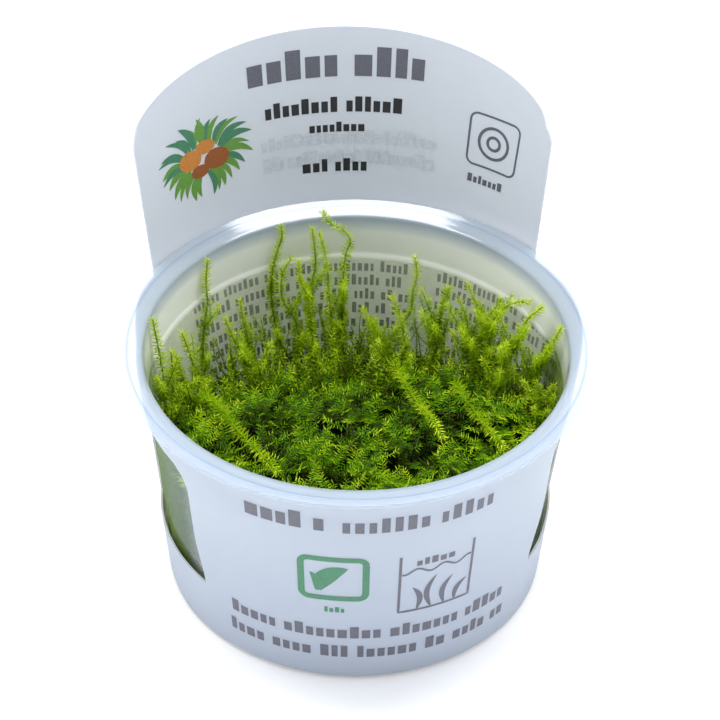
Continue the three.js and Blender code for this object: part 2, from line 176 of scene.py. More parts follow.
@dataclass(frozen=True)
class ClearPolypropylene:
    """Injection-moulded clarified polypropylene.

    The thin walls look nearly clear, with a moist film inside whose faint green tint is painted light from
    the moss.
    The thick flange gathers the plastic's own haze and turns milky white, with a soft gloss.
    """

    haze: str = "#bcc8d5"
    haze_roughness: float = 0.2
    # The moist film's haze, tinted faintly with painted green light from the moss
    film: str = "#f9faf6"
    film_pass: str = "#fefffa"
    film_ends: Pair = (54.0, 57.2)
    # Dark olive of moss stain and painted shade on the side walls
    stain_and_shade: str = "#667c2c"
    # Painted reflection of the card's bluish edges, on the wall's gloss in the windows
    painted_card_reflection: str = "#d8e6f0"
    droplet_size: float = 0.42
    smear_size: float = 0.9
    gloss: str = "#ffffff"
    gloss_roughness: float = 0.07
    through_share: Pair = (0.12, 0.4)
    # Tone of the painted shade in the flange's groove
    groove: str = "#8fa3bd"
    groove_shade: float = 0.75
    groove_radius: float = 48.35
    ior: float = 1.42
    ring_tilt: float = 0.43
    rings_per_mm: float = 2.8

    def ring_normal(self, tree: Tree, normal: Socket, flat: Socket, rings: Socket) -> Socket:
        """Tilt the flange's normal as its turned rings do.

        The sealing face is moulded with rings too fine to draw one by one. Their inner flanks
        lean towards the axis, and catch the overhead lamp at the back.

        Args:
            tree: The material's tree.
            normal: The surface's own normal.
            flat: The way from the axis to the point.
            rings: How plainly the rings show there.

        Returns:
            The normal.
        """
        outward = add_node(tree, "ShaderNodeVectorMath", {0: flat}, operation="NORMALIZE").outputs[0]
        radius = add_node(tree, "ShaderNodeVectorMath", {0: flat}, operation="LENGTH").outputs[1]
        # Streaks as wide as a ring run round the flange and wander slowly
        feeds = {0: radius, 1: self.rings_per_mm / MM}
        across = add_node(tree, "ShaderNodeMath", feeds, operation="MULTIPLY").outputs[0]
        feeds = {0: outward, 1: (3.0, 3.0, 0)}
        along = add_node(tree, "ShaderNodeVectorMath", feeds, operation="DOT_PRODUCT").outputs[1]
        streaks = add_node(tree, "ShaderNodeCombineXYZ", {0: across, 1: along}).outputs[0]
        feeds = {"Vector": streaks, "Scale": 1.0, "Detail": 2.0}
        wander = add_node(tree, "ShaderNodeTexNoise", feeds).outputs[0]
        feeds = {0: wander, 1: 0.25, 2: 0.75, 3: -0.94 * self.ring_tilt, 4: -1.06 * self.ring_tilt}
        lean = add_node(tree, "ShaderNodeMapRange", feeds).outputs[0]
        amount = add_node(tree, "ShaderNodeMath", {0: lean, 1: rings}, operation="MULTIPLY").outputs[0]
        feeds = {0: outward, "Scale": amount}
        tilt = add_node(tree, "ShaderNodeVectorMath", feeds, operation="SCALE").outputs[0]
        feeds = {0: rings, 4: normal, 5: (0, 0, 1)}
        level = add_node(tree, "ShaderNodeMix", feeds, data_type="VECTOR").outputs[1]
        leaned = add_node(tree, "ShaderNodeVectorMath", {0: level, 1: tilt}, operation="ADD").outputs[0]
        return add_node(tree, "ShaderNodeVectorMath", {0: leaned}, operation="NORMALIZE").outputs[0]

    def hazy(self, tree: Tree, pure: Socket, stain_and_shade: Socket, from_groove: Socket) -> Socket:
        """Add the haze, which scatters light both back and on through the wall.

        Args:
            tree: The material's tree.
            pure: 0 where the haze is the moist film's, 1 where it is the plastic's own.
            stain_and_shade: How much the wall is stained by moss and darkened with painted shade.
            from_groove: Distance from the middle of the flange's groove.

        Returns:
            The shader.
        """
        # At the sides moss stains the wall in streaks, and the dark olive there is also painted shade
        stained_and_shaded = add_node(tree, "ShaderNodeMapRange", {0: stain_and_shade, 1: 0.0, 2: 0.3}).outputs[0]
        # Painted shade: the flange's groove is darkened towards a shade tone
        feeds = {0: from_groove, 1: 0.1 * MM, 2: 0.4 * MM, 3: self.groove_shade, 4: 0.0}
        shaded = add_node(tree, "ShaderNodeMapRange", feeds).outputs[0]
        tone: Socket | Colour = linear(self.film)
        for share, code in ((pure, self.haze), (stained_and_shaded, self.stain_and_shade), (shaded, self.groove)):
            feeds = {0: share, 6: tone, 7: linear(code)}
            tone = add_node(tree, "ShaderNodeMix", feeds, data_type="RGBA").outputs[2]
        feeds = {0: pure, 1: 0.0, 2: 1.0, 3: self.through_share[0], 4: self.through_share[1]}
        on = add_node(tree, "ShaderNodeMapRange", feeds).outputs[0]
        feeds = {"Color": tone, "Roughness": self.haze_roughness}
        near = add_node(tree, "ShaderNodeBsdfDiffuse", feeds).outputs[0]
        far = add_node(tree, "ShaderNodeBsdfTranslucent", {"Color": tone}).outputs[0]
        return add_node(tree, "ShaderNodeMixShader", {0: on, 1: near, 2: far}).outputs[0]

    def cover(self, tree: Tree, where: Socket, stain_and_shade: Socket) -> Socket:
        """Give the share of the surface that haze, droplets or smears cover.

        Args:
            tree: The material's tree.
            where: The shaded point.
            stain_and_shade: How much the wall is stained by moss and darkened with painted shade.

        Returns:
            The share.
        """
        # Droplets gather on the inside of the wall at the sides
        feeds = {"Vector": where, "Scale": 1 / (self.droplet_size * MM), "Detail": 2.0, "Distortion": 1.2}
        drops = add_node(tree, "ShaderNodeTexNoise", feeds).outputs[0]
        feeds = {0: drops, 1: 0.44, 2: 0.6, 3: 0.0, 4: 0.75}
        beads = add_node(tree, "ShaderNodeMapRange", feeds).outputs[0]
        mist = add_node(tree, "ShaderNodeAttribute", attribute_name="mist").outputs["Fac"]
        wet = add_node(tree, "ShaderNodeMath", {0: beads, 1: mist}, operation="MULTIPLY").outputs[0]
        # Streaks of moss stain and painted shade run up and down the wall
        tall = add_node(tree, "ShaderNodeMapping", {"Vector": where, "Scale": (1.0, 1.0, 0.12)}).outputs[0]
        feeds = {"Vector": tall, "Scale": 1 / (self.smear_size * MM), "Detail": 2.0}
        smears = add_node(tree, "ShaderNodeTexNoise", feeds).outputs[0]
        feeds = {0: smears, 1: 0.3, 2: 0.7, 3: 0.55, 4: 0.97}
        smeared = add_node(tree, "ShaderNodeMapRange", feeds).outputs[0]
        stained_and_shaded = add_node(tree, "ShaderNodeMath", {0: smeared, 1: stain_and_shade}, operation="MULTIPLY").outputs[0]
        share = add_node(tree, "ShaderNodeAttribute", attribute_name="milk").outputs["Fac"]
        for part in (stained_and_shaded, wet):
            share = add_node(tree, "ShaderNodeMath", {0: share, 1: part}, operation="MAXIMUM").outputs[0]
        return share

    def build(self) -> bpy.types.Material:
        """Build the material from the piece's milk, rings, mist and stain_and_shade attributes.

        Returns:
            The material.
        """
        material, tree = new_material("clear_polypropylene")
        place = add_node(tree, "ShaderNodeNewGeometry").outputs
        where = add_node(tree, "ShaderNodeTexCoord").outputs["Object"]
        rings = add_node(tree, "ShaderNodeAttribute", attribute_name="rings").outputs["Fac"]
        stain_and_shade = add_node(tree, "ShaderNodeAttribute", attribute_name="stain_and_shade").outputs["Fac"]
        feeds = {0: place["Position"], 1: (1, 1, 0)}
        flat = add_node(tree, "ShaderNodeVectorMath", feeds, operation="MULTIPLY").outputs[0]
        radius = add_node(tree, "ShaderNodeVectorMath", {0: flat}, operation="LENGTH").outputs[1]
        feeds = {0: radius, 1: self.groove_radius * MM}
        outside = add_node(tree, "ShaderNodeMath", feeds, operation="SUBTRACT").outputs[0]
        from_groove = add_node(tree, "ShaderNodeMath", {0: outside}, operation="ABSOLUTE").outputs[0]
        # Where the plastic is clear, what milkiness it has is the moist film's
        height = add_node(tree, "ShaderNodeSeparateXYZ", {0: where}).outputs[2]
        low, high = self.film_ends
        pure = add_node(tree, "ShaderNodeMapRange", {0: height, 1: low * MM, 2: high * MM}).outputs[0]
        feeds = {0: pure, 6: linear(self.film_pass), 7: (1, 1, 1, 1)}
        passed = add_node(tree, "ShaderNodeMix", feeds, data_type="RGBA").outputs[2]
        clear = add_node(tree, "ShaderNodeBsdfTransparent", {"Color": passed}).outputs[0]
        haze = self.hazy(tree, pure, stain_and_shade, from_groove)
        feeds = {0: self.cover(tree, where, stain_and_shade), 1: clear, 2: haze}
        body = add_node(tree, "ShaderNodeMixShader", feeds).outputs[0]
        # Painted reflection: in the windows the wall's gloss is tinted with the bluish edges of the card
        card_reflection_share = add_node(tree, "ShaderNodeMapRange", {0: stain_and_shade, 1: 0.0, 2: 0.1}).outputs[0]
        feeds = {0: card_reflection_share, 6: linear(self.gloss), 7: linear(self.painted_card_reflection)}
        sheen = add_node(tree, "ShaderNodeMix", feeds, data_type="RGBA").outputs[2]
        normal = self.ring_normal(tree, place["Normal"], flat, rings)
        feeds = {"Color": sheen, "Roughness": self.gloss_roughness, "Normal": normal}
        shine = add_node(tree, "ShaderNodeBsdfGlossy", feeds).outputs[0]
        # Only a surface seen from outside the plastic shines
        feeds = {0: 1.0, 1: place["Backfacing"]}
        facing = add_node(tree, "ShaderNodeMath", feeds, operation="SUBTRACT").outputs[0]
        # Painted shade: the gloss is dimmed on the stained sides, where the sleeve keeps the studio's
        # light off the wall
        sleeve_gloss_shade = add_node(tree, "ShaderNodeMapRange", {0: stain_and_shade, 1: 0.0, 2: 0.9, 3: 1.0, 4: 0.15}).outputs[0]
        # Painted shade: the groove's gloss is dimmed, and it shines only with the turned rings
        feeds = {0: from_groove, 1: 0.4 * MM, 2: 0.8 * MM, 3: 0.1, 4: 1.0}
        groove_gloss_shade = add_node(tree, "ShaderNodeMapRange", feeds).outputs[0]
        smooth = add_node(tree, "ShaderNodeMath", {0: groove_gloss_shade, 1: rings}, operation="MAXIMUM").outputs[0]
        share = add_node(tree, "ShaderNodeFresnel", {"IOR": self.ior, "Normal": normal}).outputs[0]
        for part in (facing, sleeve_gloss_shade, smooth):
            share = add_node(tree, "ShaderNodeMath", {0: share, 1: part}, operation="MULTIPLY").outputs[0]
        both = add_node(tree, "ShaderNodeMixShader", {0: share, 1: body, 2: shine}).outputs[0]
        add_node(tree, "ShaderNodeOutputMaterial", {"Surface": both})
        return material


@dataclass(frozen=True)
class CoatedCard:
    """White board with a satin coating, printed by offset.

    It gives a cool white with a soft sheen and a faint cloudiness of the board's fibres.
    """

    tone: str = "#d4d9e5"
    cloud: str = "#d2d8e6"
    # Painted light: the inner face below the rim is lighter and warmer
    inside: str = "#faf9ec"
    # Painted shade: the front below the rim is darker and bluer than the tab
    front: str = "#bac5d8"
    front_shade_ends: Pair = (50.0, 62.0)
    through: str = "#e8eae4"
    roughness: float = 0.42
    specular: float = 0.4
    thinness: float = 0.3
    cloud_size: float = 9.0
    fibre_size: float = 0.35
    fibre_depth: float = 0.05

    def build(self) -> bpy.types.Material:
        """Build the material from object coordinates and the piece's inner_painted_light attribute.

        Returns:
            The material.
        """
        material, tree = new_material("satin_coated_card")
        where = add_node(tree, "ShaderNodeTexCoord").outputs["Object"]
        feeds = {"Vector": where, "Scale": 1 / (self.cloud_size * MM), "Detail": 3.0}
        clouds = add_node(tree, "ShaderNodeTexNoise", feeds).outputs[0]
        feeds = {0: clouds, 6: linear(self.tone), 7: linear(self.cloud)}
        tone = add_node(tree, "ShaderNodeMix", feeds, data_type="RGBA").outputs[2]
        # Painted shade and light: the front below the rim is darker and bluer, and the inner face below
        # the rim is lighter and warmer
        height = add_node(tree, "ShaderNodeSeparateXYZ", {0: where}).outputs[2]
        low, high = self.front_shade_ends
        above = add_node(tree, "ShaderNodeMapRange", {0: height, 1: low * MM, 2: high * MM}).outputs[0]
        feeds = {0: above, 6: linear(self.front), 7: tone}
        outside = add_node(tree, "ShaderNodeMix", feeds, data_type="RGBA").outputs[2]
        inner_painted_light = add_node(tree, "ShaderNodeAttribute", attribute_name="inner_painted_light").outputs["Fac"]
        feeds = {0: inner_painted_light, 6: outside, 7: linear(self.inside)}
        board = add_node(tree, "ShaderNodeMix", feeds, data_type="RGBA").outputs[2]
        feeds = {"Vector": where, "Scale": 1 / (self.fibre_size * MM), "Detail": 2.0}
        fibres = add_node(tree, "ShaderNodeTexNoise", feeds).outputs[0]
        feeds = {"Height": fibres, "Strength": 0.08, "Distance": self.fibre_depth * MM}
        relief = add_node(tree, "ShaderNodeBump", feeds).outputs[0]
        feeds = {
            "Base Color": board,
            "Roughness": self.roughness,
            "Specular IOR Level": self.specular,
            "Normal": relief,
        }
        body = add_node(tree, "ShaderNodeBsdfPrincipled", feeds).outputs[0]
        thin = add_node(tree, "ShaderNodeBsdfTranslucent", {"Color": linear(self.through)}).outputs[0]
        both = add_node(tree, "ShaderNodeMixShader", {0: self.thinness, 1: body, 2: thin}).outputs[0]
        add_node(tree, "ShaderNodeOutputMaterial", {"Surface": both})
        return material


@dataclass(frozen=True)
class OffsetInk:
    """Offset printing ink under the card's coating.

    It gives flat matt-satin colours whose density varies a little, as a run of print does.
    """

    roughness: float = 0.42
    specular: float = 0.4
    density: Pair = (0.9, 1.12)
    mottle_size: float = 0.6

    def build(self) -> bpy.types.Material:
        """Build the material from the piece's ink attribute.

        Returns:
            The material.
        """
        material, tree = new_material("offset_ink")
        where = add_node(tree, "ShaderNodeTexCoord").outputs["Object"]
        feeds = {"Vector": where, "Scale": 1 / (self.mottle_size * MM), "Detail": 2.0}
        mottle = add_node(tree, "ShaderNodeTexNoise", feeds).outputs[0]
        feeds = {0: mottle, 1: 0.3, 2: 0.7, 3: self.density[0], 4: self.density[1]}
        density = add_node(tree, "ShaderNodeMapRange", feeds).outputs[0]
        ink = add_node(tree, "ShaderNodeAttribute", attribute_name="ink").outputs["Color"]
        feeds = {0: ink, "Scale": density}
        tone = add_node(tree, "ShaderNodeVectorMath", feeds, operation="SCALE").outputs[0]
        feeds = {"Base Color": tone, "Roughness": self.roughness, "Specular IOR Level": self.specular}
        body = add_node(tree, "ShaderNodeBsdfPrincipled", feeds).outputs[0]
        add_node(tree, "ShaderNodeOutputMaterial", {"Surface": body})
        return material


@dataclass(frozen=True)
class MossLeaf:
    """Living moss leaves, one cell thick.

    They are dark olive at the foot, partly from age and partly as painted shade deep in the growth,
    and lime at the growing tip. They let light through, and glint a little because they are moist.
    """

    name: str = "moss_leaf"
    # Darkest tone, for aged stems and the painted shade deep in the growth
    old_and_shaded: str = "#141f03"
    olive: str = "#475c08"
    green: str = "#5a9403"
    lime: str = "#a2cb0c"
    tip: str = "#d2e32c"
    through: str = "#a4cf06"
    thinness: float = 0.24
    roughness: float = 0.42
    specular: float = 0.22
    patch_size: float = 2.2
    patch_drift: float = 0.14

    def build(self) -> bpy.types.Material:
        """Build the material from the piece's tint attribute, from 0 at a dark, shaded foot to 1 at a tip.

        Returns:
            The material.
        """
        material, tree = new_material(self.name)
        where = add_node(tree, "ShaderNodeTexCoord").outputs["Object"]
        feeds = {"Vector": where, "Scale": 1 / (self.patch_size * MM), "Detail": 2.0}
        patches = add_node(tree, "ShaderNodeTexNoise", feeds).outputs[0]
        feeds = {0: patches, 1: 0.3, 2: 0.7, 3: -self.patch_drift, 4: self.patch_drift}
        drift = add_node(tree, "ShaderNodeMapRange", feeds).outputs[0]
        tint = add_node(tree, "ShaderNodeAttribute", attribute_name="tint").outputs["Fac"]
        age_and_shade = add_node(tree, "ShaderNodeMath", {0: tint, 1: drift}, operation="ADD").outputs[0]
        ramp = add_node(tree, "ShaderNodeValToRGB", {0: age_and_shade})
        stops = ramp.color_ramp.elements
        stops[0].position, stops[0].color = 0.0, linear(self.old_and_shaded)
        stops[1].position, stops[1].color = 1.0, linear(self.tip)
        for position, code in ((0.25, self.olive), (0.5, self.green), (0.78, self.lime)):
            stops.new(position).color = linear(code)
        tone = ramp.outputs[0]
        feeds = {"Base Color": tone, "Roughness": self.roughness, "Specular IOR Level": self.specular}
        body = add_node(tree, "ShaderNodeBsdfPrincipled", feeds).outputs[0]
        feeds = {0: 0.35, 6: tone, 7: linear(self.through)}
        glow = add_node(tree, "ShaderNodeMix", feeds, data_type="RGBA").outputs[2]
        thin = add_node(tree, "ShaderNodeBsdfTranslucent", {"Color": glow}).outputs[0]
        both = add_node(tree, "ShaderNodeMixShader", {0: self.thinness, 1: body, 2: thin}).outputs[0]
        add_node(tree, "ShaderNodeOutputMaterial", {"Surface": both})
        return material


@dataclass(frozen=True)
class ShadedMoss:
    """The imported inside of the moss, out of the light.

    It gives the black-green gaps between the leafy stems, streaked by stems that lie deeper.
    """

    gap: str = "#060d01"
    stem: str = "#1c2c05"
    streak_size: float = 0.7
    relief_depth: float = 0.4

    def build(self) -> bpy.types.Material:
        """Build the material on object coordinates, with streaks that run mostly upwards.

        Returns:
            The material.
        """
        material, tree = new_material("shaded_moss")
        where = add_node(tree, "ShaderNodeTexCoord").outputs["Object"]
        tall = add_node(tree, "ShaderNodeMapping", {"Vector": where, "Scale": (1.0, 1.0, 0.3)}).outputs[0]
        feeds = {"Vector": tall, "Scale": 1 / (self.streak_size * MM), "Detail": 4.0, "Distortion": 1.5}
        streaks = add_node(tree, "ShaderNodeTexNoise", feeds).outputs[0]
        ramp = add_node(tree, "ShaderNodeValToRGB", {0: streaks})
        stops = ramp.color_ramp.elements
        stops[0].position, stops[0].color = 0.42, linear(self.gap)
        stops[1].position, stops[1].color = 0.68, linear(self.stem)
        feeds = {"Height": streaks, "Strength": 0.8, "Distance": self.relief_depth * MM}
        relief = add_node(tree, "ShaderNodeBump", feeds).outputs[0]
        feeds = {
            "Base Color": ramp.outputs[0],
            "Roughness": 1.0,
            "Specular IOR Level": 0.0,
            "Normal": relief,
        }
        body = add_node(tree, "ShaderNodeBsdfPrincipled", feeds).outputs[0]
        add_node(tree, "ShaderNodeOutputMaterial", {"Surface": body})
        return material


@dataclass(frozen=True)
class StudioPaper:
    """Seamless white background paper over a light table: matt, and pure white in the picture."""

    tone: str = "#fbfbfc"
    table_light: float = 0.14

    def build(self) -> bpy.types.Material:
        """Build the matt material, with the light that comes up through it.

        Returns:
            The material.
        """
        material, tree = new_material("studio_paper")
        feeds = {"Color": linear(self.tone), "Roughness": 0.5}
        paper = add_node(tree, "ShaderNodeBsdfDiffuse", feeds).outputs[0]
        feeds = {"Color": (1, 1, 1, 1), "Strength": self.table_light}
        below = add_node(tree, "ShaderNodeEmission", feeds).outputs[0]
        both = add_node(tree, "ShaderNodeAddShader", {0: paper, 1: below}).outputs[0]
        add_node(tree, "ShaderNodeOutputMaterial", {"Surface": both})
        return material


# The cup


@dataclass
class Cup:
    """The clear flanged cup, turned from one profile."""

    rim_radius: float = 50.5
    rim_height: float = 58.5
    flange_thickness: float = 0.9
    lip_outer_radius: float = 46.8
    lip_drop: float = 0.45
    wall: float = 0.75
    foot_radius: float = 40.0
    foot_corner: float = 1.5
    floor_thickness: float = 0.8
    wall_slope: float = 0.0863
    shoulder_height: float = 47.5
    shoulder_rise: float = 1.1
    shoulder_step: float = 0.6
    collar_slope: float = 0.09
    segments: int = 180
    wall_milk: float = 0.13
    collar_milk: float = 0.78
    flange_milk: float = 0.5
    groove_milk: float = 0.62
    groove_radius: float = 48.35
    groove_half_width: float = 0.55
    groove_depth: float = 0.25
    groove_fade: Pair = (0.1, 0.6)
    rings_radius: Pair = (44.6, 45.6)
    mist_azimuths: tuple[Pair, ...] = ((108.0, 26.0), (-112.0, 24.0))
    mist_foot: Pair = (22.0, 30.0)
    mist_top: Pair = (47.0, 43.0)
    stain_and_shade_front: Pair = (53.0, 82.0)
    stain_and_shade_rear: Pair = (108.0, 98.0)

    def outside(self, z: float) -> float:
        """Give the wall's outer radius at a height."""
        if z < self.shoulder_height + self.shoulder_rise:
            return self.foot_radius + self.wall_slope * min(z, self.shoulder_height)
        collar_foot = self.foot_radius + self.wall_slope * self.shoulder_height + self.shoulder_step
        return collar_foot + self.collar_slope * (z - self.shoulder_height - self.shoulder_rise)

    def inside(self, z: float) -> float:
        """Give the wall's inner radius at a height."""
        return self.outside(z) - self.wall

    def profile(self) -> list[Pair]:
        """Give the turned profile, from the middle of the foot out, up and back in.

        Returns:
            Radius and height of each point, with its corners rounded.
        """
        under = self.rim_height - self.flange_thickness
        shoulder = self.shoulder_height + self.shoulder_rise
        lip = self.inside(self.rim_height - self.lip_drop)
        top = self.rim_height
        corners = [
            (0.0, 0.0, 0.0),
            (self.foot_radius + 0.05, 0.0, self.foot_corner),
            (self.outside(self.shoulder_height), self.shoulder_height, 0.5),
            (self.outside(shoulder), shoulder, 0.4),
            (self.outside(under), under, 0.35),
            (self.rim_radius, under, 0.25),
            (self.rim_radius, top, 0.25),
            (self.groove_radius + self.groove_half_width, top, 0.3),
            (self.groove_radius, top - self.groove_depth, 0.3),
            (self.groove_radius - self.groove_half_width, top, 0.3),
            (self.lip_outer_radius - 0.4, top, 0.8),
            (lip + 0.25, top - self.lip_drop * 1.2, 0.6),
            (self.inside(shoulder + 6), shoulder + 6, 0.0),
            (self.inside(shoulder), shoulder, 0.4),
            (self.inside(self.shoulder_height), self.shoulder_height, 0.5),
            (self.inside(self.floor_thickness), self.floor_thickness, self.foot_corner),
            (0.0, self.floor_thickness, 0.0),
        ]
        return rounded(corners)

    def milkiness(self, point: Point) -> float:
        """Give how milky the plastic looks at a point.

        Args:
            point: A point of the cup.

        Returns:
            The share of the surface that is haze.
        """
        radius, z = math.hypot(point[0], point[1]), point[2]
        under = self.rim_height - self.flange_thickness
        if radius > self.outside(under) + 0.2:
            away = float(smooth_step(*self.groove_fade, abs(radius - self.groove_radius)))
            return self.groove_milk + (self.flange_milk - self.groove_milk) * away
        shoulder = self.shoulder_height
        if z < self.foot_corner and radius < self.foot_radius - 1:
            return self.collar_milk
        rise = float(smooth_step(shoulder - 1.0, shoulder + 1.5, z))
        lip = float(smooth_step(self.rim_height - 2.6, self.rim_height - 0.9, z))
        base = self.wall_milk + (self.collar_milk - self.wall_milk) * rise
        return base + (self.flange_milk - base) * lip

    def ringed(self, point: Point) -> float:
        """Give how plainly the sealing face's rings show at a point: only at the back."""
        away = math.hypot(point[0], point[1])
        top = float(point[2] > self.rim_height - 0.6)
        return top * float(smooth_step(*self.rings_radius, away) * smooth_step(0, 22, point[1]))

    def mistiness(self, point: Point) -> float:
        """Give how thickly droplets cover the wall at a point.

        Args:
            point: A point of the cup.

        Returns:
            The share, from 0 to 1.
        """
        azimuth = math.degrees(math.atan2(point[0], -point[1]))
        height = float(smooth_step(*self.mist_foot, point[2]) * smooth_step(*self.mist_top, point[2]))
        near = max(1 - abs(degrees_from(middle, azimuth)) / half for middle, half in self.mist_azimuths)
        return height * float(smooth_step(0.0, 0.5, near))

    def stain_and_shade_share(self, point: Point) -> float:
        """Give how much the wall is stained by moss and darkened with painted shade at a point: most at
        the sides, none above the shoulder.
        """
        side = abs(math.degrees(math.atan2(point[0], -point[1])))
        below = float(smooth_step(self.shoulder_height + 2.5, self.shoulder_height - 1.5, point[2]))
        return below * float(smooth_step(*self.stain_and_shade_front, side) * smooth_step(*self.stain_and_shade_rear, side))

    def build(self, finish: ClearPolypropylene) -> bpy.types.Object:
        """Turn the profile, mark where it is milky, and dress it.

        Args:
            finish: The cup's plastic.

        Returns:
            The cup.
        """
        profile = self.profile()
        vertices: list[Point] = []
        rings: list[list[int]] = []
        for radius, z in profile:
            if radius == 0:
                rings.append([len(vertices)] * self.segments)
                vertices.append((0.0, 0.0, z))
            else:
                first = len(vertices)
                rings.append(list(range(first, first + self.segments)))
                step = 360 / self.segments
                vertices += [polar(i * step, radius, z) for i in range(self.segments)]
        faces = []
        for lower, upper in zip(rings, rings[1:]):
            for i in range(self.segments):
                j = (i + 1) % self.segments
                corners = [lower[i], lower[j], upper[j], upper[i]]
                faces.append(list(dict.fromkeys(corners)))
        piece = mesh_piece("cup_shell", vertices, faces, finish.build(), 50)
        shares = (self.milkiness, self.ringed, self.mistiness, self.stain_and_shade_share)
        for name, share in zip(("milk", "rings", "mist", "stain_and_shade"), shares):
            paint(piece.data, name, [share(v) for v in vertices])
        dress(piece, ["cup"])
        return piece


def rounded(corners: Sequence[Point], steps: int = 5) -> list[Pair]:
    """Round the corners of an open profile.

    Args:
        corners: Radius, height and fillet of each corner.
        steps: Points on each fillet.

    Returns:
        The profile's points.
    """
    points: list[Pair] = []
    for i, (x, y, fillet) in enumerate(corners):
        if fillet == 0:
            points.append((x, y))
            continue
        here = np.array([x, y])
        before = np.array(corners[i - 1][:2]) - here
        after = np.array(corners[i + 1][:2]) - here
        reach = min(fillet, 0.45 * np.linalg.norm(before), 0.45 * np.linalg.norm(after))
        start = here + before / np.linalg.norm(before) * reach
        end = here + after / np.linalg.norm(after) * reach
        for step in range(steps + 1):
            t = step / steps
            point = (1 - t) ** 2 * start + 2 * t * (1 - t) * here + t**2 * end
            points.append((float(point[0]), float(point[1])))
    return points


# The card sleeve and its printing


class Face(Enum):
    """Which side of the card a print is on."""

    OUTER = 1
    INNER = 0


@dataclass
class CardSleeve:
    """The card band round the cup, with side windows and the tall tab behind."""

    card: float = 0.4
    foot_radius: float = 40.4
    bottom: float = 1.0
    front_top: float = 55.9
    front_slope: float = 0.1
    tab_slope: float = 0.1805
    flare_left: Pair = (95.0, 125.0)
    flare_right: Pair = (70.0, 115.0)
    tab_centre: float = 178.8
    tab_half_angle: float = 55.0
    tab_narrowing: float = 0.00123
    tab_top: float = 99.39
    tab_shoulder: float = 87.0
    arch_centre: float = 181.3
    arch_left_half_angle: float = 53.5
    arch_right_half_angle: float = 55.0
    tab_corner_drop: float = 3.0
    tab_corner_span: float = 4.0
    window_bottom: float = 16.0
    window_top: float = 47.5
    window_corner: float = 6.0
    window_left: Pair = (-56.5, -98.0)
    window_right: Pair = (59.5, 88.0)
    window_left_lean: float = 2.5
    window_right_lean: float = -5.0
    window_lean_top: float = 30.0
    window_lean_reach: float = 15.0
    # Heights where the painted light on the inner face fades out
    inner_light_ends: Pair = (60.0, 52.0)
    column_step: float = 1.5
    group_rows: tuple[int, ...] = (4, 10, 3, 14)
    # Where the mesh's columns crowd together, from a corner inwards
    window_shares: tuple[float, ...] = (0, 0.02, 0.07, 0.15, 0.27, 0.42, 0.6, 0.8, 1)
    tab_degrees: tuple[float, ...] = (0, 0.15, 0.4, 0.8, 1.3, 2.0, 2.6, 3.2, 4.0)

    def inside(self, azimuth: float, z: float) -> float:
        """Give the radius of the card's inner face.

        Args:
            azimuth: Degrees from the front.
            z: Height.

        Returns:
            The radius.
        """
        turn = degrees_from(0, azimuth)
        starts, ends = self.flare_left if turn < 0 else self.flare_right
        flare = float(smooth_step(starts, ends, abs(turn)))
        return self.foot_radius + (self.front_slope + (self.tab_slope - self.front_slope) * flare) * z

    def placed(self, azimuth: float, z: float) -> float:
        """Give the azimuth where a column of the mesh stands at a height.

        The columns beside a window lean forward with its front edge at its foot, and those of
        the tab lean inwards as they rise.

        Args:
            azimuth: The column's own azimuth.
            z: Height.

        Returns:
            The azimuth there.
        """
        front = (self.window_left if azimuth < 0 else self.window_right)[0]
        lean = self.window_left_lean if azimuth < 0 else self.window_right_lean
        near = max(0.0, 1 - abs(azimuth - front) / self.window_lean_reach)
        low = 1 - float(smooth_step(self.window_bottom, self.window_lean_top, z))
        leaned = azimuth + lean * near * low
        lost = self.tab_narrowing * max(0.0, z - self.front_top)
        return leaned - lost * degrees_from(self.tab_centre, leaned)

    def tab_edge(self, azimuth: float) -> float:
        """Give the height of the tab's arched edge, with its rounded corners.

        Args:
            azimuth: The column's own azimuth.

        Returns:
            The height.
        """
        turn = degrees_from(self.arch_centre, azimuth)
        half = self.arch_right_half_angle if turn < 0 else self.arch_left_half_angle
        across = min(1.0, abs(turn) / half)
        inward = max(0.0, self.tab_half_angle - abs(degrees_from(self.tab_centre, azimuth)))
        corner = max(0.0, 1 - inward / self.tab_corner_span) ** 3
        rise = (self.tab_top - self.tab_shoulder) * math.sqrt(1 - across**2)
        return self.tab_shoulder + rise - self.tab_corner_drop * corner

    def window_edge(self, azimuth: float) -> float:
        """Give the height of the window's top edge, which rounds down at its front corner."""
        front = abs((self.window_left if azimuth < 0 else self.window_right)[0])
        per_degree = math.radians(self.inside(front, self.window_top))
        along = (abs(azimuth) - front) * per_degree
        if along < 0 or along > self.window_corner:
            return self.window_top
        short = self.window_corner - along
        return self.window_top - self.window_corner + math.sqrt(self.window_corner**2 - short**2)

    def columns(self) -> list[float]:
        """Give the azimuths of the mesh's columns, close together at the curved corners."""
        corner = math.degrees(self.window_corner / self.inside(0, self.window_top))
        fixed = [self.window_left[0] - s * corner for s in self.window_shares]
        fixed += [self.window_right[0] + s * corner for s in self.window_shares]
        fixed += [self.window_left[1], self.window_right[1]]
        for inward in self.tab_degrees:
            fixed.append(self.tab_centre - self.tab_half_angle + inward)
            fixed.append(self.tab_centre + self.tab_half_angle - inward - 360)
        count = round(360 / self.column_step)
        even = [i * self.column_step - 180 for i in range(count)]
        clear = self.column_step / 3
        return sorted(fixed + [a for a in even if all(abs(a - f) > clear for f in fixed)])

    def row_heights(self, azimuth: float) -> list[float]:
        """Give the heights of the mesh's rows at an azimuth, from the bottom to the tab's edge."""
        marks = [
            self.bottom,
            self.window_bottom,
            self.window_edge(azimuth),
            self.front_top,
            self.tab_edge(azimuth),
        ]
        heights = [self.bottom]
        for low, high, rows in zip(marks, marks[1:], self.group_rows):
            heights += [low + (high - low) * (k + 1) / rows for k in range(rows)]
        return heights

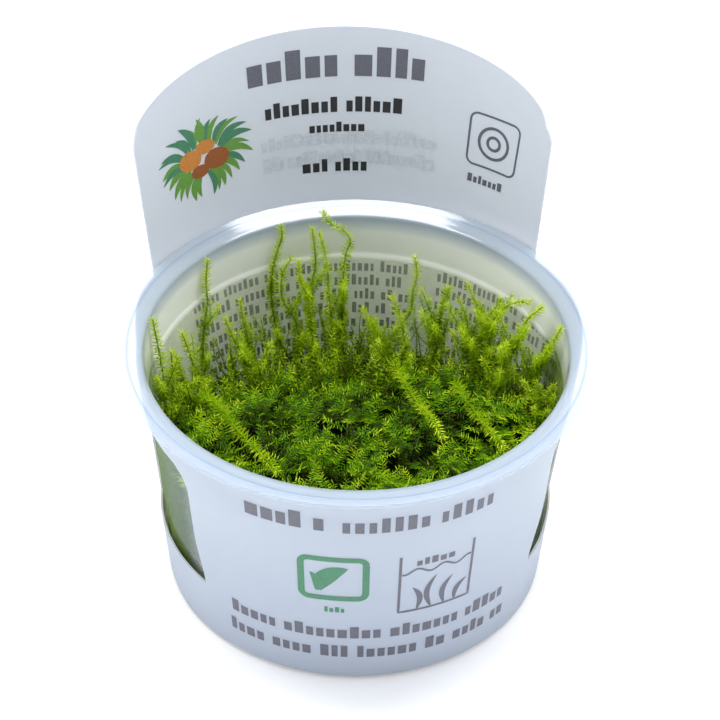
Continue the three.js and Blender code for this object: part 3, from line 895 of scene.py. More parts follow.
    def has_card(self, azimuth: float, row: int) -> bool:
        """Say whether there is card between two rows at an azimuth.

        Args:
            azimuth: Middle of the column, in degrees.
            row: The lower of the two rows.

        Returns:
            True where there is card.
        """
        window_rows = self.group_rows[0] <= row < self.group_rows[0] + self.group_rows[1]
        left = self.window_left[1] < azimuth < self.window_left[0]
        right = self.window_right[0] < azimuth < self.window_right[1]
        if row >= sum(self.group_rows[:3]):
            return abs(degrees_from(self.tab_centre, azimuth)) < self.tab_half_angle
        return not (window_rows and (left or right))

    def build(self, finish: CoatedCard) -> bpy.types.Object:
        """Build both faces of the card and its cut edges, and dress it.

        Args:
            finish: The card's material.

        Returns:
            The sleeve.
        """
        columns = self.columns()
        rows = len(self.row_heights(0))
        count = len(columns)
        vertices = []
        for azimuth in columns:
            for z in self.row_heights(azimuth):
                place = self.placed(azimuth, z)
                inner = self.inside(place, z)
                vertices += [polar(place, inner, z), polar(place, inner + self.card, z)]

        def vertex(column: int, row: int, outer: int) -> int:
            """Give a vertex's number."""
            return 2 * ((column % count) * rows + row) + outer

        def present(column: int, row: int) -> bool:
            """Say whether a cell of the grid is card."""
            if row < 0 or row > rows - 2:
                return False
            start, end = columns[column % count], columns[(column + 1) % count]
            middle = start + ((end - start) % 360) / 2
            return self.has_card(middle - 360 if middle > 180 else middle, row)

        faces = []
        for i in range(count):
            for j in range(rows - 1):
                if not present(i, j):
                    continue
                cells = [(i, j), (i + 1, j), (i + 1, j + 1), (i, j + 1)]
                beside = [(i, j - 1), (i + 1, j), (i, j + 1), (i - 1, j)]
                outer = [vertex(c, r, 1) for c, r in cells]
                inner = [vertex(c, r, 0) for c, r in cells]
                faces += [outer, inner[::-1]]
                for side in range(4):
                    following = (side + 1) % 4
                    if not present(*beside[side]):
                        faces.append([outer[following], outer[side], inner[side], inner[following]])
        used = sorted({v for f in faces for v in f})
        place = {v: k for k, v in enumerate(used)}
        faces = [[place[v] for v in f] for f in faces]
        piece = mesh_piece("card_sleeve", [vertices[v] for v in used], faces, finish.build(), 35)
        # Painted light on the inner face below the rim
        inner_painted_light = [(1 - v % 2) * float(smooth_step(*self.inner_light_ends, vertices[v][2])) for v in used]
        paint(piece.data, "inner_painted_light", inner_painted_light)
        dress(piece, ["label_sleeve"])
        return piece


class Ink(Enum):
    """The printing inks."""

    GREY = "#5c5d68"
    BLACK = "#1d1e24"
    PALE = "#c3c9d2"
    GREEN = "#3f7a5a"
    LEAF = "#5f8f3a"
    OCHRE = "#c07a34"
    BROWN = "#8e4f22"


@dataclass(frozen=True)
class Spot:
    """Where a mark is printed and in which ink: the card's side, an azimuth and a height."""

    face: Face
    azimuth: float
    z: float
    ink: Ink


@dataclass
class SleevePrinting:
    """Generic marks in the places of the sleeve's print: rows of blocks, plain icons, a drawing.

    Each mark is a thin film that follows the card.
    """

    sleeve: CardSleeve
    lift: float = 0.05
    layer: float = 0.0
    longest_step: float = 1.2
    tall_block: float = 1.38
    tall_share: float = 0.28
    group_gap: float = 0.55
    seed: int = 5
    vertices: list[Point] = field(default_factory=list)
    faces: list[list[int]] = field(default_factory=list)
    inks: list[Ink] = field(default_factory=list)

    def __post_init__(self) -> None:
        """Start the random numbers."""
        self.rng = np.random.default_rng(self.seed)

    def on_card(self, face: Face, azimuth: float, z: float) -> Point:
        """Give the point of the print's film over an azimuth and height.

        Args:
            face: The side of the card.
            azimuth: Degrees from the front.
            z: Height.

        Returns:
            The point, just off the card.
        """
        inner = self.sleeve.inside(azimuth, z)
        lift = self.lift + self.layer
        radius = inner + self.sleeve.card + lift if face is Face.OUTER else inner - lift
        return polar(azimuth, radius, z)

    def stroke(self, spot: Spot, path: Sequence[Pair], widths: Sequence[float]) -> None:
        """Print a stroke along a path.

        Args:
            spot: Where the path is measured from.
            path: Points in millimetres, first to the reader's right and then up.
            widths: The stroke's width at each point.
        """
        turn = 1 if spot.face is Face.OUTER else -1
        per_degree = math.radians(self.sleeve.inside(spot.azimuth, spot.z))
        points, across = [], []
        for k in range(len(path) - 1):
            (x0, y0), (x1, y1) = path[k], path[k + 1]
            pieces = max(1, math.ceil(math.hypot(x1 - x0, y1 - y0) / self.longest_step))
            for step in range(pieces + (k == len(path) - 2)):
                t = step / pieces
                points.append(np.array([x0 + (x1 - x0) * t, y0 + (y1 - y0) * t]))
                across.append(widths[k] + (widths[k + 1] - widths[k]) * t)
        line = np.array(points)
        along = np.gradient(line, axis=0)
        along /= np.linalg.norm(along, axis=1)[:, None]
        side = np.stack([-along[:, 1], along[:, 0]], 1) * np.array(across)[:, None] / 2
        first = len(self.vertices)
        for left, right in zip(line + side, line - side):
            for x, y in (left, right):
                azimuth = spot.azimuth + turn * x / per_degree
                self.vertices.append(self.on_card(spot.face, azimuth, spot.z + y))
        for a in range(first, first + 2 * len(line) - 2, 2):
            self.faces.append([a, a + 1, a + 3, a + 2])
            self.inks.append(spot.ink)

    def words(self, spot: Spot, end: float, height: float, block: Pair, group: tuple[int, int]) -> None:
        """Print a row of plain blocks in groups, in the place of a row of words.

        Args:
            spot: The row's foot at the reader's left end.
            end: Azimuth of the reader's right end.
            height: Height of a low block.
            block: A block's width, and the space after it, as shares of its height.
            group: Fewest and most blocks in a group.
        """
        rng, (width, gap) = self.rng, block
        length = math.radians(abs(end - spot.azimuth)) * self.sleeve.inside(spot.azimuth, spot.z)
        x = 0.0
        while x < length - height * 0.5:
            for _ in range(int(rng.integers(group[0], group[1] + 1))):
                wide = height * width * float(rng.uniform(0.8, 1.25))
                if x + wide > length:
                    break
                tall = height * (self.tall_block if rng.random() < self.tall_share else 1.0)
                self.stroke(spot, [(x, tall / 2), (x + wide, tall / 2)], [tall, tall])
                x += wide + height * gap
            x += height * self.group_gap

    def frame(self, spot: Spot, size: Pair, corner: float, line: float) -> None:
        """Print the outline of a rounded rectangle.

        Args:
            spot: Its middle.
            size: Its width and height, to the middle of the line.
            corner: Corner radius.
            line: The line's width.
        """
        half_x, half_y = size[0] / 2, size[1] / 2
        path = []
        for quarter, (sx, sy) in enumerate(((1, 1), (-1, 1), (-1, -1), (1, -1))):
            for step in range(6):
                angle = math.pi / 2 * (quarter + step / 5)
                x = sx * (half_x - corner) + corner * math.cos(angle)
                y = sy * (half_y - corner) + corner * math.sin(angle)
                path.append((x, y))
        path.append(path[0])
        self.stroke(spot, path, [line] * len(path))

    def ring(self, spot: Spot, radius: float, line: float) -> None:
        """Print a ring about a spot."""
        path = [(radius * math.cos(a), radius * math.sin(a)) for a in np.linspace(0, 2 * math.pi, 33)]
        self.stroke(spot, path, [line] * len(path))

    def leaf(self, spot: Spot, foot: Pair, heading: float, length: float, wide: float) -> None:
        """Print a plain lens-shaped leaf.

        Args:
            spot: Where the leaf is measured from.
            foot: Millimetres from there to the leaf's foot.
            heading: Direction that it points in, in degrees from the reader's right.
            length: Its length.
            wide: Its greatest width.
        """
        bend = 0.16 * length
        dx, dy = math.cos(math.radians(heading)), math.sin(math.radians(heading))
        path, widths = [], []
        for s in np.linspace(0, 1, 13):
            off = bend * math.sin(math.pi * s) * (1 if dx >= 0 else -1)
            path.append((foot[0] + dx * s * length - dy * off, foot[1] + dy * s * length + dx * off))
            widths.append(max(0.05, wide * math.sin(math.pi * min(1.0, s * 0.92 + 0.08)) ** 0.8))
        self.stroke(spot, path, widths)

    def pebble(self, spot: Spot, middle: Pair, size: Pair) -> None:
        """Print a filled ellipse, given its middle from the spot, its width and its height."""
        shares = np.linspace(-1, 1, 15)
        path = [(middle[0] + s * size[0] / 2, middle[1]) for s in shares]
        self.stroke(spot, path, [max(0.1, size[1] * math.sqrt(max(0, 1 - s * s))) for s in shares])

    def front(self) -> None:
        """Print the front: a heading, two icons and two rows."""
        out, grey, green = Face.OUTER, Ink.GREY, Ink.GREEN
        self.words(Spot(out, -35.8, 46.6, grey), -10.5, 3.5, (0.72, 0.2), (4, 4))
        self.words(Spot(out, -9.5, 46.3, grey), 37.1, 3.1, (0.5, 0.32), (5, 7))
        icon = Spot(out, -12.0, 32.0, green)
        self.frame(icon, (13.4, 12.0), 1.6, 1.45)
        self.leaf(icon, (-3.2, -3.6), 48, 9.4, 4.2)
        self.leaf(icon, (-3.4, -3.8), 105, 5.6, 2.2)
        self.words(Spot(out, -14.5, 21.6, green), -9.0, 1.2, (0.6, 0.3), (4, 5))
        tank = Spot(out, 16.6, 29.0, grey)
        self.stroke(tank, [(-8.0, 9.0), (-8.0, -8.2), (8.0, -8.2), (8.0, 9.0)], [0.6] * 4)
        wave = [(x, 4.0 + 0.7 * math.sin(x * 1.1)) for x in np.linspace(-7.6, 7.6, 25)]
        self.stroke(tank, wave, [0.5] * 25)
        for x, heading, length in ((-4, 100, 7), (-1, 84, 9.5), (2, 78, 8), (4.5, 64, 6)):
            self.leaf(tank, (x, -7.8), heading, length, 1.3)
        self.words(Spot(out, 10.5, 34.6, grey), 22.6, 1.5, (0.75, 0.35), (4, 5))
        self.words(Spot(out, -43.5, 13.4, grey), 42.5, 2.6, (0.6, 0.24), (4, 9))
        self.words(Spot(out, -44.5, 7.3, grey), 43.5, 2.6, (0.6, 0.24), (2, 7))

    def tab(self) -> None:
        """Print the tab: a title, three short rows, a framed ring, and pebbles among leaves."""
        inner, black = Face.INNER, Ink.BLACK
        self.words(Spot(inner, 199, 87.8, Ink.GREY), 158, 5.0, (0.62, 0.2), (3, 5))
        self.words(Spot(inner, 195.5, 79.4, black), 161, 2.6, (0.62, 0.22), (6, 9))
        self.words(Spot(inner, 185.2, 74.7, black), 171.3, 1.7, (0.66, 0.24), (8, 8))
        self.words(Spot(inner, 187.2, 65.2, black), 169.8, 2.2, (0.68, 0.24), (3, 4))
        framed = Spot(inner, 140.9, 77.4, Ink.GREY)
        self.frame(framed, (12.2, 12.2), 1.7, 0.5)
        self.ring(framed, 3.6, 0.7)
        self.ring(framed, 1.5, 0.7)
        self.words(Spot(inner, 146.5, 67.0, Ink.GREY), 135.8, 1.4, (0.62, 0.26), (7, 7))
        rng, place = self.rng, (inner, 212.3, 75.5)
        for k, turn in enumerate(rng.permutation(30)):
            self.layer = 0.001 * k
            heading = float(turn) * 12 + float(rng.uniform(-4, 4))
            way = math.cos(math.radians(heading)), math.sin(math.radians(heading))
            spot = Spot(*place, Ink.LEAF if rng.random() < 0.6 else Ink.GREEN)
            length = float(rng.uniform(5.6, 7.8)) * (0.8 + 0.3 * abs(way[0]))
            self.leaf(spot, (4.6 * way[0], 3.2 * way[1]), heading, length, float(rng.uniform(1.2, 1.9)))
        pebbles = (
            ((-3.4, 0.6), (6.2, 4.6), Ink.OCHRE),
            ((3.4, -1.2), (6.6, 4.8), Ink.BROWN),
            ((0.8, 2.4), (5.2, 3.2), Ink.OCHRE),
            ((-1.2, -2.8), (4.8, 3.0), Ink.BROWN),
        )
        for middle, size, ink in pebbles:
            self.layer += 0.002
            self.pebble(Spot(*place, ink), middle, size)
        self.layer = 0.0

    def rear(self) -> None:
        """Print the rear panel: two columns of rows inside, and a pale block painted where print shows
        through.
        """
        inner, black, pale = Face.INNER, Ink.BLACK, Ink.PALE
        self.words(Spot(inner, 222.5, 44.4, black), 189.0, 1.9, (0.52, 0.24), (5, 11))
        self.words(Spot(inner, 151.5, 44.4, black), 97.0, 1.9, (0.52, 0.24), (5, 11))
        for row in range(7):
            z = 40.5 - 3.5 * row
            short = float(self.rng.uniform(0, 6))
            for start, end in ((222.5, 157.0), (151.5, 93.0)):
                self.words(Spot(inner, start, z, black), end + short, 1.9, (0.42, 0.27), (2, 9))
        # Painted show-through: pale copies of print on the card's other face
        self.layer = -0.02
        for z in (52.5, 49.2):
            self.words(Spot(inner, 212.0, z, pale), 132.0, 1.3, (0.62, 0.24), (2, 9))
        for face, start, end, ink in ((inner, 197.0, 155.2, pale), (Face.OUTER, 155.2, 197.0, Ink.GREY)):
            self.words(Spot(face, start, 71.9, ink), end, 2.2, (0.62, 0.22), (4, 9))
            self.words(Spot(face, start, 67.0, ink), end, 2.4, (0.72, 0.2), (2, 4))
            self.layer = 0.0

    def build(self, finish: OffsetInk) -> bpy.types.Object:
        """Print every place, and dress the film.

        Args:
            finish: The ink's material.

        Returns:
            The printing.
        """
        self.front()
        self.tab()
        self.rear()
        piece = mesh_piece("sleeve_printing", self.vertices, self.faces, finish.build())
        colours = [c for ink, f in zip(self.inks, self.faces) for _ in f for c in linear(ink.value)]
        piece.data.color_attributes.new("ink", "FLOAT_COLOR", "CORNER").data.foreach_set("color", colours)
        dress(piece)
        return piece


# The moss


@dataclass(frozen=True)
class Stem:
    """One stem before its leaves grow.

    The pairs give a measure at the stem's foot and at its tip.
    """

    path: np.ndarray
    radius: Pair
    leaf: Pair
    # The darker foot is partly age and partly painted shade
    tint: Pair


def curve_through(points: Sequence[Sequence[float]], spacing: float = 0.8) -> np.ndarray:
    """Draw a centripetal Catmull-Rom curve through points.

    Args:
        points: The points, in order.
        spacing: About how far apart its own points are.

    Returns:
        The curve's points, one row each.
    """
    p = np.asarray(points, float)
    p = np.vstack([2 * p[0] - p[1], p, 2 * p[-1] - p[-2]])
    out = []
    for i in range(1, len(p) - 2):
        a, b, c, d = p[i - 1 : i + 3]
        gaps = [max(1e-4, float(np.linalg.norm(v)) ** 0.5) for v in (b - a, c - b, d - c)]
        start = ((b - a) / gaps[0] - (c - a) / (gaps[0] + gaps[1]) + (c - b) / gaps[1]) * gaps[1]
        end = ((c - b) / gaps[1] - (d - b) / (gaps[1] + gaps[2]) + (d - c) / gaps[2]) * gaps[1]
        steps = max(1, round(float(np.linalg.norm(c - b)) / spacing))
        for t in np.arange(steps) / steps:
            out.append(
                b * (2 * t**3 - 3 * t**2 + 1)
                + c * (3 * t**2 - 2 * t**3)
                + start * (t**3 - 2 * t**2 + t)
                + end * (t**3 - t**2)
            )
    out.append(p[-2])
    return np.array(out)


@dataclass
class LeafySprays:
    """Grows leaves on stems with one Geometry Nodes tree."""

    leaf_angle: float = 98.0
    bud_angle: float = 40.0
    leaf_width: float = 0.19
    leaf_depth: float = 0.13
    stem_shade: float = 0.62
    seed: int = 3
    tree: Tree | None = None

    def make_leaf(self, name: str) -> bpy.types.Object:
        """Make the leaf that is repeated: a millimetre long, along +X, keeled, its tip curling up.

        Args:
            name: The object's name.

        Returns:
            An object that is only instanced and isn't in the scene.
        """
        half = self.leaf_width / 2
        brim, keel = 0.6 * self.leaf_depth, -0.4 * self.leaf_depth
        points = [(0, 0, 0), (0.36, half, brim), (0.42, 0, keel), (0.36, -half, brim), (1, 0, 0.15)]
        faces = [(0, 2, 1), (0, 3, 2), (1, 2, 4), (2, 3, 4)]
        mesh = bpy.data.meshes.new(name)
        mesh.from_pydata([tuple(c * MM for c in p) for p in points], [], faces)
        return bpy.data.objects.new(name, mesh)

    def make_tree(self) -> Tree:
        """Build the tree: stems are resampled, leaves stand on them in a spiral, and all is joined.

        Returns:
            The tree, with named inputs.
        """
        tree = bpy.data.node_groups.new("leafy_sprays", "GeometryNodeTree")
        tree.is_modifier = True
        kinds = {
            "Stems": "Geometry",
            "Leaf": "Object",
            "Leaf Spacing": "Float",
            "Leaf Angle": "Float",
            "Flatness": "Float",
            "Seed": "Int",
            "Finish": "Material",
        }
        for name, kind in kinds.items():
            tree.interface.new_socket(name, in_out="INPUT", socket_type="NodeSocket" + kind)
        tree.interface.new_socket("Sprays", in_out="OUTPUT", socket_type="NodeSocketGeometry")
        given = add_node(tree, "NodeGroupInput").outputs
        # Measures that the stems carry
        stored = {}
        for name in ("stem_radius", "leaf_length", "tint"):
            node = add_node(tree, "GeometryNodeInputNamedAttribute", {"Name": name}, data_type="FLOAT")
            stored[name] = node.outputs["Attribute"]
        # Values that differ from leaf to leaf: the least, the most and a seed of its own for each
        quarter = math.pi / 2
        spreads = {
            "tint": (-0.15, 0.15, 0),
            "round": (-0.5, 0.5, 101),
            "beside": (quarter - 0.6, quarter + 0.6, 211),
            "tilt": (-0.17, 0.17, 307),
            "length": (0.78, 1.16, 401),
        }
        chance = {}
        for name, (low, high, key) in spreads.items():
            seed = add_node(tree, "ShaderNodeMath", {0: given["Seed"], 1: float(key)}, operation="ADD")
            feeds = {2: low, 3: high, "Seed": seed.outputs[0]}
            chance[name] = add_node(tree, "FunctionNodeRandomValue", feeds).outputs[1]

        stems = add_node(tree, "GeometryNodeMeshToCurve", {"Mesh": given["Stems"]}).outputs[0]
        feeds = {"Curve": stems, "Radius": stored["stem_radius"]}
        thick = add_node(tree, "GeometryNodeSetCurveRadius", feeds).outputs[0]
        feeds = {"Resolution": 3, "Radius": 1.0}
        section = add_node(tree, "GeometryNodeCurvePrimitiveCircle", feeds, mode="RADIUS").outputs["Curve"]
        feeds = {"Curve": thick, "Profile Curve": section, "Scale": stored["stem_radius"]}
        tube = add_node(tree, "GeometryNodeCurveToMesh", feeds).outputs[0]
        feeds = {"Curve": stems, "Length": given["Leaf Spacing"]}
        spaced = add_node(tree, "GeometryNodeResampleCurve", feeds, mode="LENGTH").outputs[0]
        # A stem is older and darker than its leaves, whose tints differ a little
        feeds = {0: stored["tint"], 1: self.stem_shade}
        darker = add_node(tree, "ShaderNodeMath", feeds, operation="MULTIPLY").outputs[0]
        feeds = {0: stored["tint"], 1: chance["tint"]}
        varied = add_node(tree, "ShaderNodeMath", feeds, operation="ADD").outputs[0]
        tinted = []
        for geometry, tint in ((tube, darker), (spaced, varied)):
            node = add_node(
                tree,
                "GeometryNodeStoreNamedAttribute",
                {"Geometry": geometry, "Name": "tint", "Value": tint},
                data_type="FLOAT",
                domain="POINT",
            )
            tinted.append(node.outputs[0])
        shaded, points = tinted

        # A leaf's turn about the stem: the golden angle from its neighbour, and a little chance
        index = add_node(tree, "GeometryNodeInputIndex").outputs[0]
        feeds = {0: index, 1: GOLDEN_ANGLE, 2: chance["round"]}
        round_stem = add_node(tree, "ShaderNodeMath", feeds, operation="MULTIPLY_ADD").outputs[0]
        # On a flat spray they stand left and right of the stem in turn, in the plane that it lies in
        tangent = add_node(tree, "GeometryNodeInputTangent").outputs[0]
        way = add_node(tree, "ShaderNodeSeparateXYZ", {0: tangent}).outputs
        heading = add_node(tree, "ShaderNodeMath", {0: way[1], 1: way[0]}, operation="ARCTAN2").outputs[0]
        feeds = {0: heading, 1: chance["beside"]}
        first_side = add_node(tree, "ShaderNodeMath", feeds, operation="ADD").outputs[0]
        feeds = {0: index, 1: math.pi, 2: first_side}
        two_ranked = add_node(tree, "ShaderNodeMath", feeds, operation="MULTIPLY_ADD").outputs[0]
        feeds = {0: given["Flatness"], 2: round_stem, 3: two_ranked}
        turn = add_node(tree, "ShaderNodeMix", feeds, data_type="FLOAT").outputs[0]
        # Near the tip the leaves close up into a bud
        along = add_node(tree, "GeometryNodeSplineParameter").outputs["Factor"]
        late = add_node(tree, "ShaderNodeMath", {0: along, 1: 5.0}, operation="POWER").outputs[0]
        feeds = {0: late, 1: math.radians(self.bud_angle), 2: quarter}
        rise = add_node(tree, "ShaderNodeMath", feeds, operation="MULTIPLY_ADD").outputs[0]
        feeds = {0: rise, 1: chance["tilt"]}
        lifted = add_node(tree, "ShaderNodeMath", feeds, operation="ADD").outputs[0]
        feeds = {0: given["Leaf Angle"], 1: lifted}
        tilt = add_node(tree, "ShaderNodeMath", feeds, operation="SUBTRACT").outputs[0]
        upright = add_node(tree, "FunctionNodeAlignRotationToVector", {"Vector": tangent}, axis="Z")
        posed = upright.outputs[0]
        for axis, angle in (((0, 0, 1), turn), ((0, 1, 0), tilt)):
            by = add_node(tree, "FunctionNodeAxisAngleToRotation", {"Axis": axis, "Angle": angle})
            feeds = {"Rotation": posed, "Rotate By": by.outputs[0]}
            node = add_node(tree, "FunctionNodeRotateRotation", feeds, rotation_space="LOCAL")
            posed = node.outputs[0]
        feeds = {0: stored["leaf_length"], 1: chance["length"]}
        scale = add_node(tree, "ShaderNodeMath", feeds, operation="MULTIPLY").outputs[0]
        shape = add_node(tree, "GeometryNodeObjectInfo", {"Object": given["Leaf"]}).outputs["Geometry"]
        feeds = {"Points": points, "Instance": shape, "Rotation": posed, "Scale": scale}
        leaves = add_node(tree, "GeometryNodeInstanceOnPoints", feeds).outputs[0]
        whole = add_node(tree, "GeometryNodeJoinGeometry", {0: shaded})
        tree.links.new(leaves, whole.inputs[0])
        real = add_node(tree, "GeometryNodeRealizeInstances", {"Geometry": whole.outputs[0]}).outputs[0]
        feeds = {"Geometry": real, "Material": given["Finish"]}
        coloured = add_node(tree, "GeometryNodeSetMaterial", feeds).outputs[0]
        add_node(tree, "NodeGroupOutput", {"Sprays": coloured})
        return tree

    def grow(
        self,
        name: str,
        stems: Sequence[Stem],
        spacing: float,
        material: bpy.types.Material,
        flatness: float = 0.0,
    ) -> bpy.types.Object:
        """Grow leaves on stems and turn the result to a plain mesh.

        Args:
            name: The piece's name.
            stems: The stems, in millimetres.
            spacing: Distance from leaf to leaf along a stem, in millimetres.
            material: The leaves' material.
            flatness: 0 for leaves all round the stem, 1 for leaves to its left and right.

        Returns:
            The piece.
        """
        if self.tree is None:
            self.tree = self.make_tree()
        edges: list[tuple[int, int]] = []
        measures: dict[str, list[np.ndarray]] = {"stem_radius": [], "leaf_length": [], "tint": []}
        first = 0
        for stem in stems:
            count = len(stem.path)
            share = np.linspace(0, 1, count)
            edges += [(first + k, first + k + 1) for k in range(count - 1)]
            for values, (foot, tip) in zip(measures.values(), (stem.radius, stem.leaf, stem.tint)):
                values.append(foot + (tip - foot) * share)
            first += count
        mesh = bpy.data.meshes.new(name + "_stems")
        mesh.from_pydata(np.vstack([stem.path for stem in stems]) * MM, edges, [])
        for key, values in measures.items():
            unit = MM if key == "stem_radius" else 1.0
            paint(mesh, key, (np.concatenate(values) * unit).astype(np.float32))
        source = bpy.data.objects.new(name + "_source", mesh)
        bpy.context.scene.collection.objects.link(source)
        modifier = source.modifiers.new("sprays", "NODES")
        modifier.node_group = self.tree
        settings = {
            "Leaf": self.make_leaf(name + "_leaf"),
            "Leaf Spacing": spacing * MM,
            "Leaf Angle": math.radians(self.leaf_angle),
            "Flatness": flatness,
            "Seed": self.seed,
            "Finish": material,
        }
        for item in self.tree.interface.items_tree:
            if item.in_out == "INPUT" and item.name in settings:
                modifier[item.identifier] = settings[item.name]
        evaluated = source.evaluated_get(bpy.context.evaluated_depsgraph_get())
        grown = bpy.data.meshes.new_from_object(evaluated)
        grown.name = name
        piece = bpy.data.objects.new(name, grown)
        bpy.context.scene.collection.objects.link(piece)
        bpy.data.objects.remove(source)
        return piece


@dataclass
class MossBed:
    """The cushion of moss and everything that grows out of it."""

    cup: Cup
    clearance: float = 0.35
    top_front: float = 38.0
    top_back: float = 28.0
    dip_starts: float = -5.0
    dip_ends: float = 38.0
    edge_droop: float = 1.5
    lump: float = 0.9
    lump_spacing: float = 18.0
    root_depth: float = 3.0
    core_sunk: float = 4.4
    core_inset: float = 2.4
    rear_drop: float = 5.5
    thins: Pair = (9.0, 32.0)
    edge_radius: float = 38.0
    growth_radius: float = 41.0
    cushion_stems: int = 2700
    wall_stems: int = 560
    wisps: int = 270
    clump_size: float = 3.6
    clump_relief: float = 5.2
    clump_gap: float = -0.08
    rear_bareness: float = 0.72
    climb: tuple[float, ...] = (70, 52, 34, 20, 14, 22, 40)
    lying_lift: float = 3.2
    furrow: float = 2.3
    furrow_loss: float = 0.7
    scatter: float = 0.7
    flow_size: float = 15.0
    seed: int = 21

    # The long shoots, as the part has them: the foot in plan, then points to the tip
    shoots: tuple = (
        ((-39.6, 7.4), (-40.3, 8, 40), (-40.7, 9.6, 47), (-41.7, 11.4, 55), (-42.2, 12.2, 58.5)),
        ((-37.8, 15), (-38.2, 16, 40.5), (-38.4, 16.5, 45.5)),
        ((-34, 16), (-36, 17.2, 38), (-37.3, 18.3, 43)),
        ((-30.5, 17.5), (-33, 18.5, 37), (-34.2, 19.3, 42.5), (-35.7, 20.2, 47.7)),
        ((-30.7, 24), (-31, 27, 37), (-30.6, 28.3, 42.5),
         (-29.6, 30, 47.7), (-29.7, 31.2, 52.3), (-29.2, 32.5, 57.6)),
        ((-12.7, 33.4), (-14.3, 36.3, 36), (-14.9, 38.2, 42), (-14.5, 39.5, 47.4),
         (-13.4, 40.7, 52), (-12.1, 41.5, 56), (-12.3, 42, 58.6)),
        ((-9.5, 30.5), (-9.8, 33.3, 37.5), (-12.6, 36, 42.7), (-12.3, 37.9, 48.4), (-10.3, 39.2, 51.7)),
        ((-6, 26), (-7.1, 29.5, 42), (-7.3, 31.5, 46), (-8.8, 33.7, 49.5), (-9, 35.8, 53.5)),
        ((-5.5, 33), (-6.8, 34.8, 38), (-6.8, 35.8, 41.5),
         (-5.8, 37.4, 46), (-4.9, 38.9, 50.1), (-5.4, 41.6, 57.6)),
        ((-2.2, 28.5), (-2, 30.5, 38), (-2.7, 32.2, 46),
         (-2.7, 35, 51), (-3.2, 37.4, 54.4), (-4.1, 39.7, 57.7)),
        ((0.3, 32.5), (0.6, 34.6, 39), (0.7, 36, 44), (1.7, 38.4, 52.5),
         (2.8, 39.4, 55.5), (1.2, 40.5, 57.6), (-1.5, 41.5, 58.8), (-3, 42.7, 61.2)),
        ((7, 25.5), (10.6, 28, 36), (13.2, 29.2, 38.6), (15.5, 30.6, 41.8),
         (16.1, 32.3, 45.8), (17.1, 33.8, 49.6), (16.7, 35.3, 52.9)),
        ((14.2, 24), (13.1, 26.5, 41), (12.3, 28.9, 43), (11.4, 31.9, 45.1)),
        ((10.5, 22.5), (9, 26, 36.2), (6.7, 28.8, 38.8), (4.9, 31.6, 42.3)),
        ((32.2, 18.8), (31.4, 21.8, 41), (30.6, 23.8, 44.5), (28.8, 26, 47.3), (27.6, 28.1, 50.3)),
        ((30.8, 7.3), (32.5, 8, 41), (34.5, 8.5, 47),
         (36.3, 8.9, 51.2), (38.2, 9.2, 55.3), (41, 9.4, 57.8)),
        ((37.8, 5.8), (39.2, 4.8, 42), (40.8, 3.3, 48.4), (42.3, 1.9, 54.1), (43.6, 0.6, 59)),
        ((19.6, 23.6), (20.6, 25.8, 37.3), (21.4, 27.5, 41), (22.4, 29.2, 44.7), (23.4, 30.5, 47.5)),
        ((27.4, 15.6), (29.3, 18.8, 42.4), (30.5, 20.5, 45.5), (32.4, 21.8, 47.6), (34.4, 23, 49.7)),
        ((30.6, 12.2), (31, 15.8, 46), (32, 16.6, 49.5),
         (34, 17, 52), (36.6, 17.2, 53.1), (39.4, 17.2, 53)),
        ((27.6, 20.2), (27.3, 23.1, 40.8), (26.8, 25.1, 44), (25.6, 27.3, 46.8)),
        ((38.9, -2.8), (40.6, -2.3, 41), (41.6, -1.8, 44.4)),
        ((-19.5, 26.5), (-20.5, 28.5, 34.3), (-21.2, 30, 37.1), (-21.7, 31.9, 41.3), (-22.2, 33.7, 45)),
        ((-19.2, 22.4), (-21.2, 24.4, 33.6), (-22.9, 26, 36.6), (-24.5, 27.6, 40.2), (-25.8, 29.1, 43.9)),
    )
    # Long shoots that have fallen over the cushion, in plan
    lying: tuple = (
        ((-31.9, 13.7), (-28.5, 2.8), (-25.2, -5.4), (-22, -12.1), (-18.5, -18.5)),
        ((22.8, 10.4), (23.7, 2.4), (25.8, -4.5), (27.8, -11.5), (29.9, -15.1)),
        ((11.1, 20.1), (11.7, 9.2), (13.6, 1.8), (15.4, -6.4), (17.5, -10.5)),
    )

    def height(self, x: Any, y: Any) -> Any:
        """Give the height of the cushion's surface.

        Args:
            x: Distance to the right of the axis, or an array.
            y: Distance behind the axis, or an array.

        Returns:
            The height.
        """
        dip = (self.top_front - self.top_back) * smooth_step(self.dip_starts, self.dip_ends, y)
        middle = np.hypot(x, y) / self.cup.foot_radius
        wave = 2 * math.pi / self.lump_spacing
        lumps = np.sin(wave * (x + 0.4 * y)) * np.cos(wave * (y - 0.3 * x))
        return self.top_front - dip - self.edge_droop * middle**2 + self.lump * lumps

    def thinning(self, y: Any) -> Any:
        """Give how thin the growth is at a distance behind the axis, from 0 to 1 at the rear wall."""
        return smooth_step(*self.thins, y)

    def bed(self, x: float, y: float) -> float:
        """Give the height that the growth stands on: the surface, sunk where the growth is thin."""
        return float(self.height(x, y) - self.rear_drop * self.thinning(y))

    def reach(self, z: float, gap: float = 1.0) -> float:
        """Give how far from the axis the moss reaches at a height, a gap inside the wall."""
        return self.cup.inside(min(z, self.cup.shoulder_height)) - gap

    def kept_in(self, path: np.ndarray, gap: float = 0.9) -> np.ndarray:
        """Push a path's points in from the wall.

        Args:
            path: Points of a stem.
            gap: Least distance from the wall.

        Returns:
            The path, inside the cup.
        """
        for point in path:
            limit = self.reach(point[2], gap)
            away = math.hypot(point[0], point[1])
            if away > limit:
                point[:2] *= limit / away
        return path

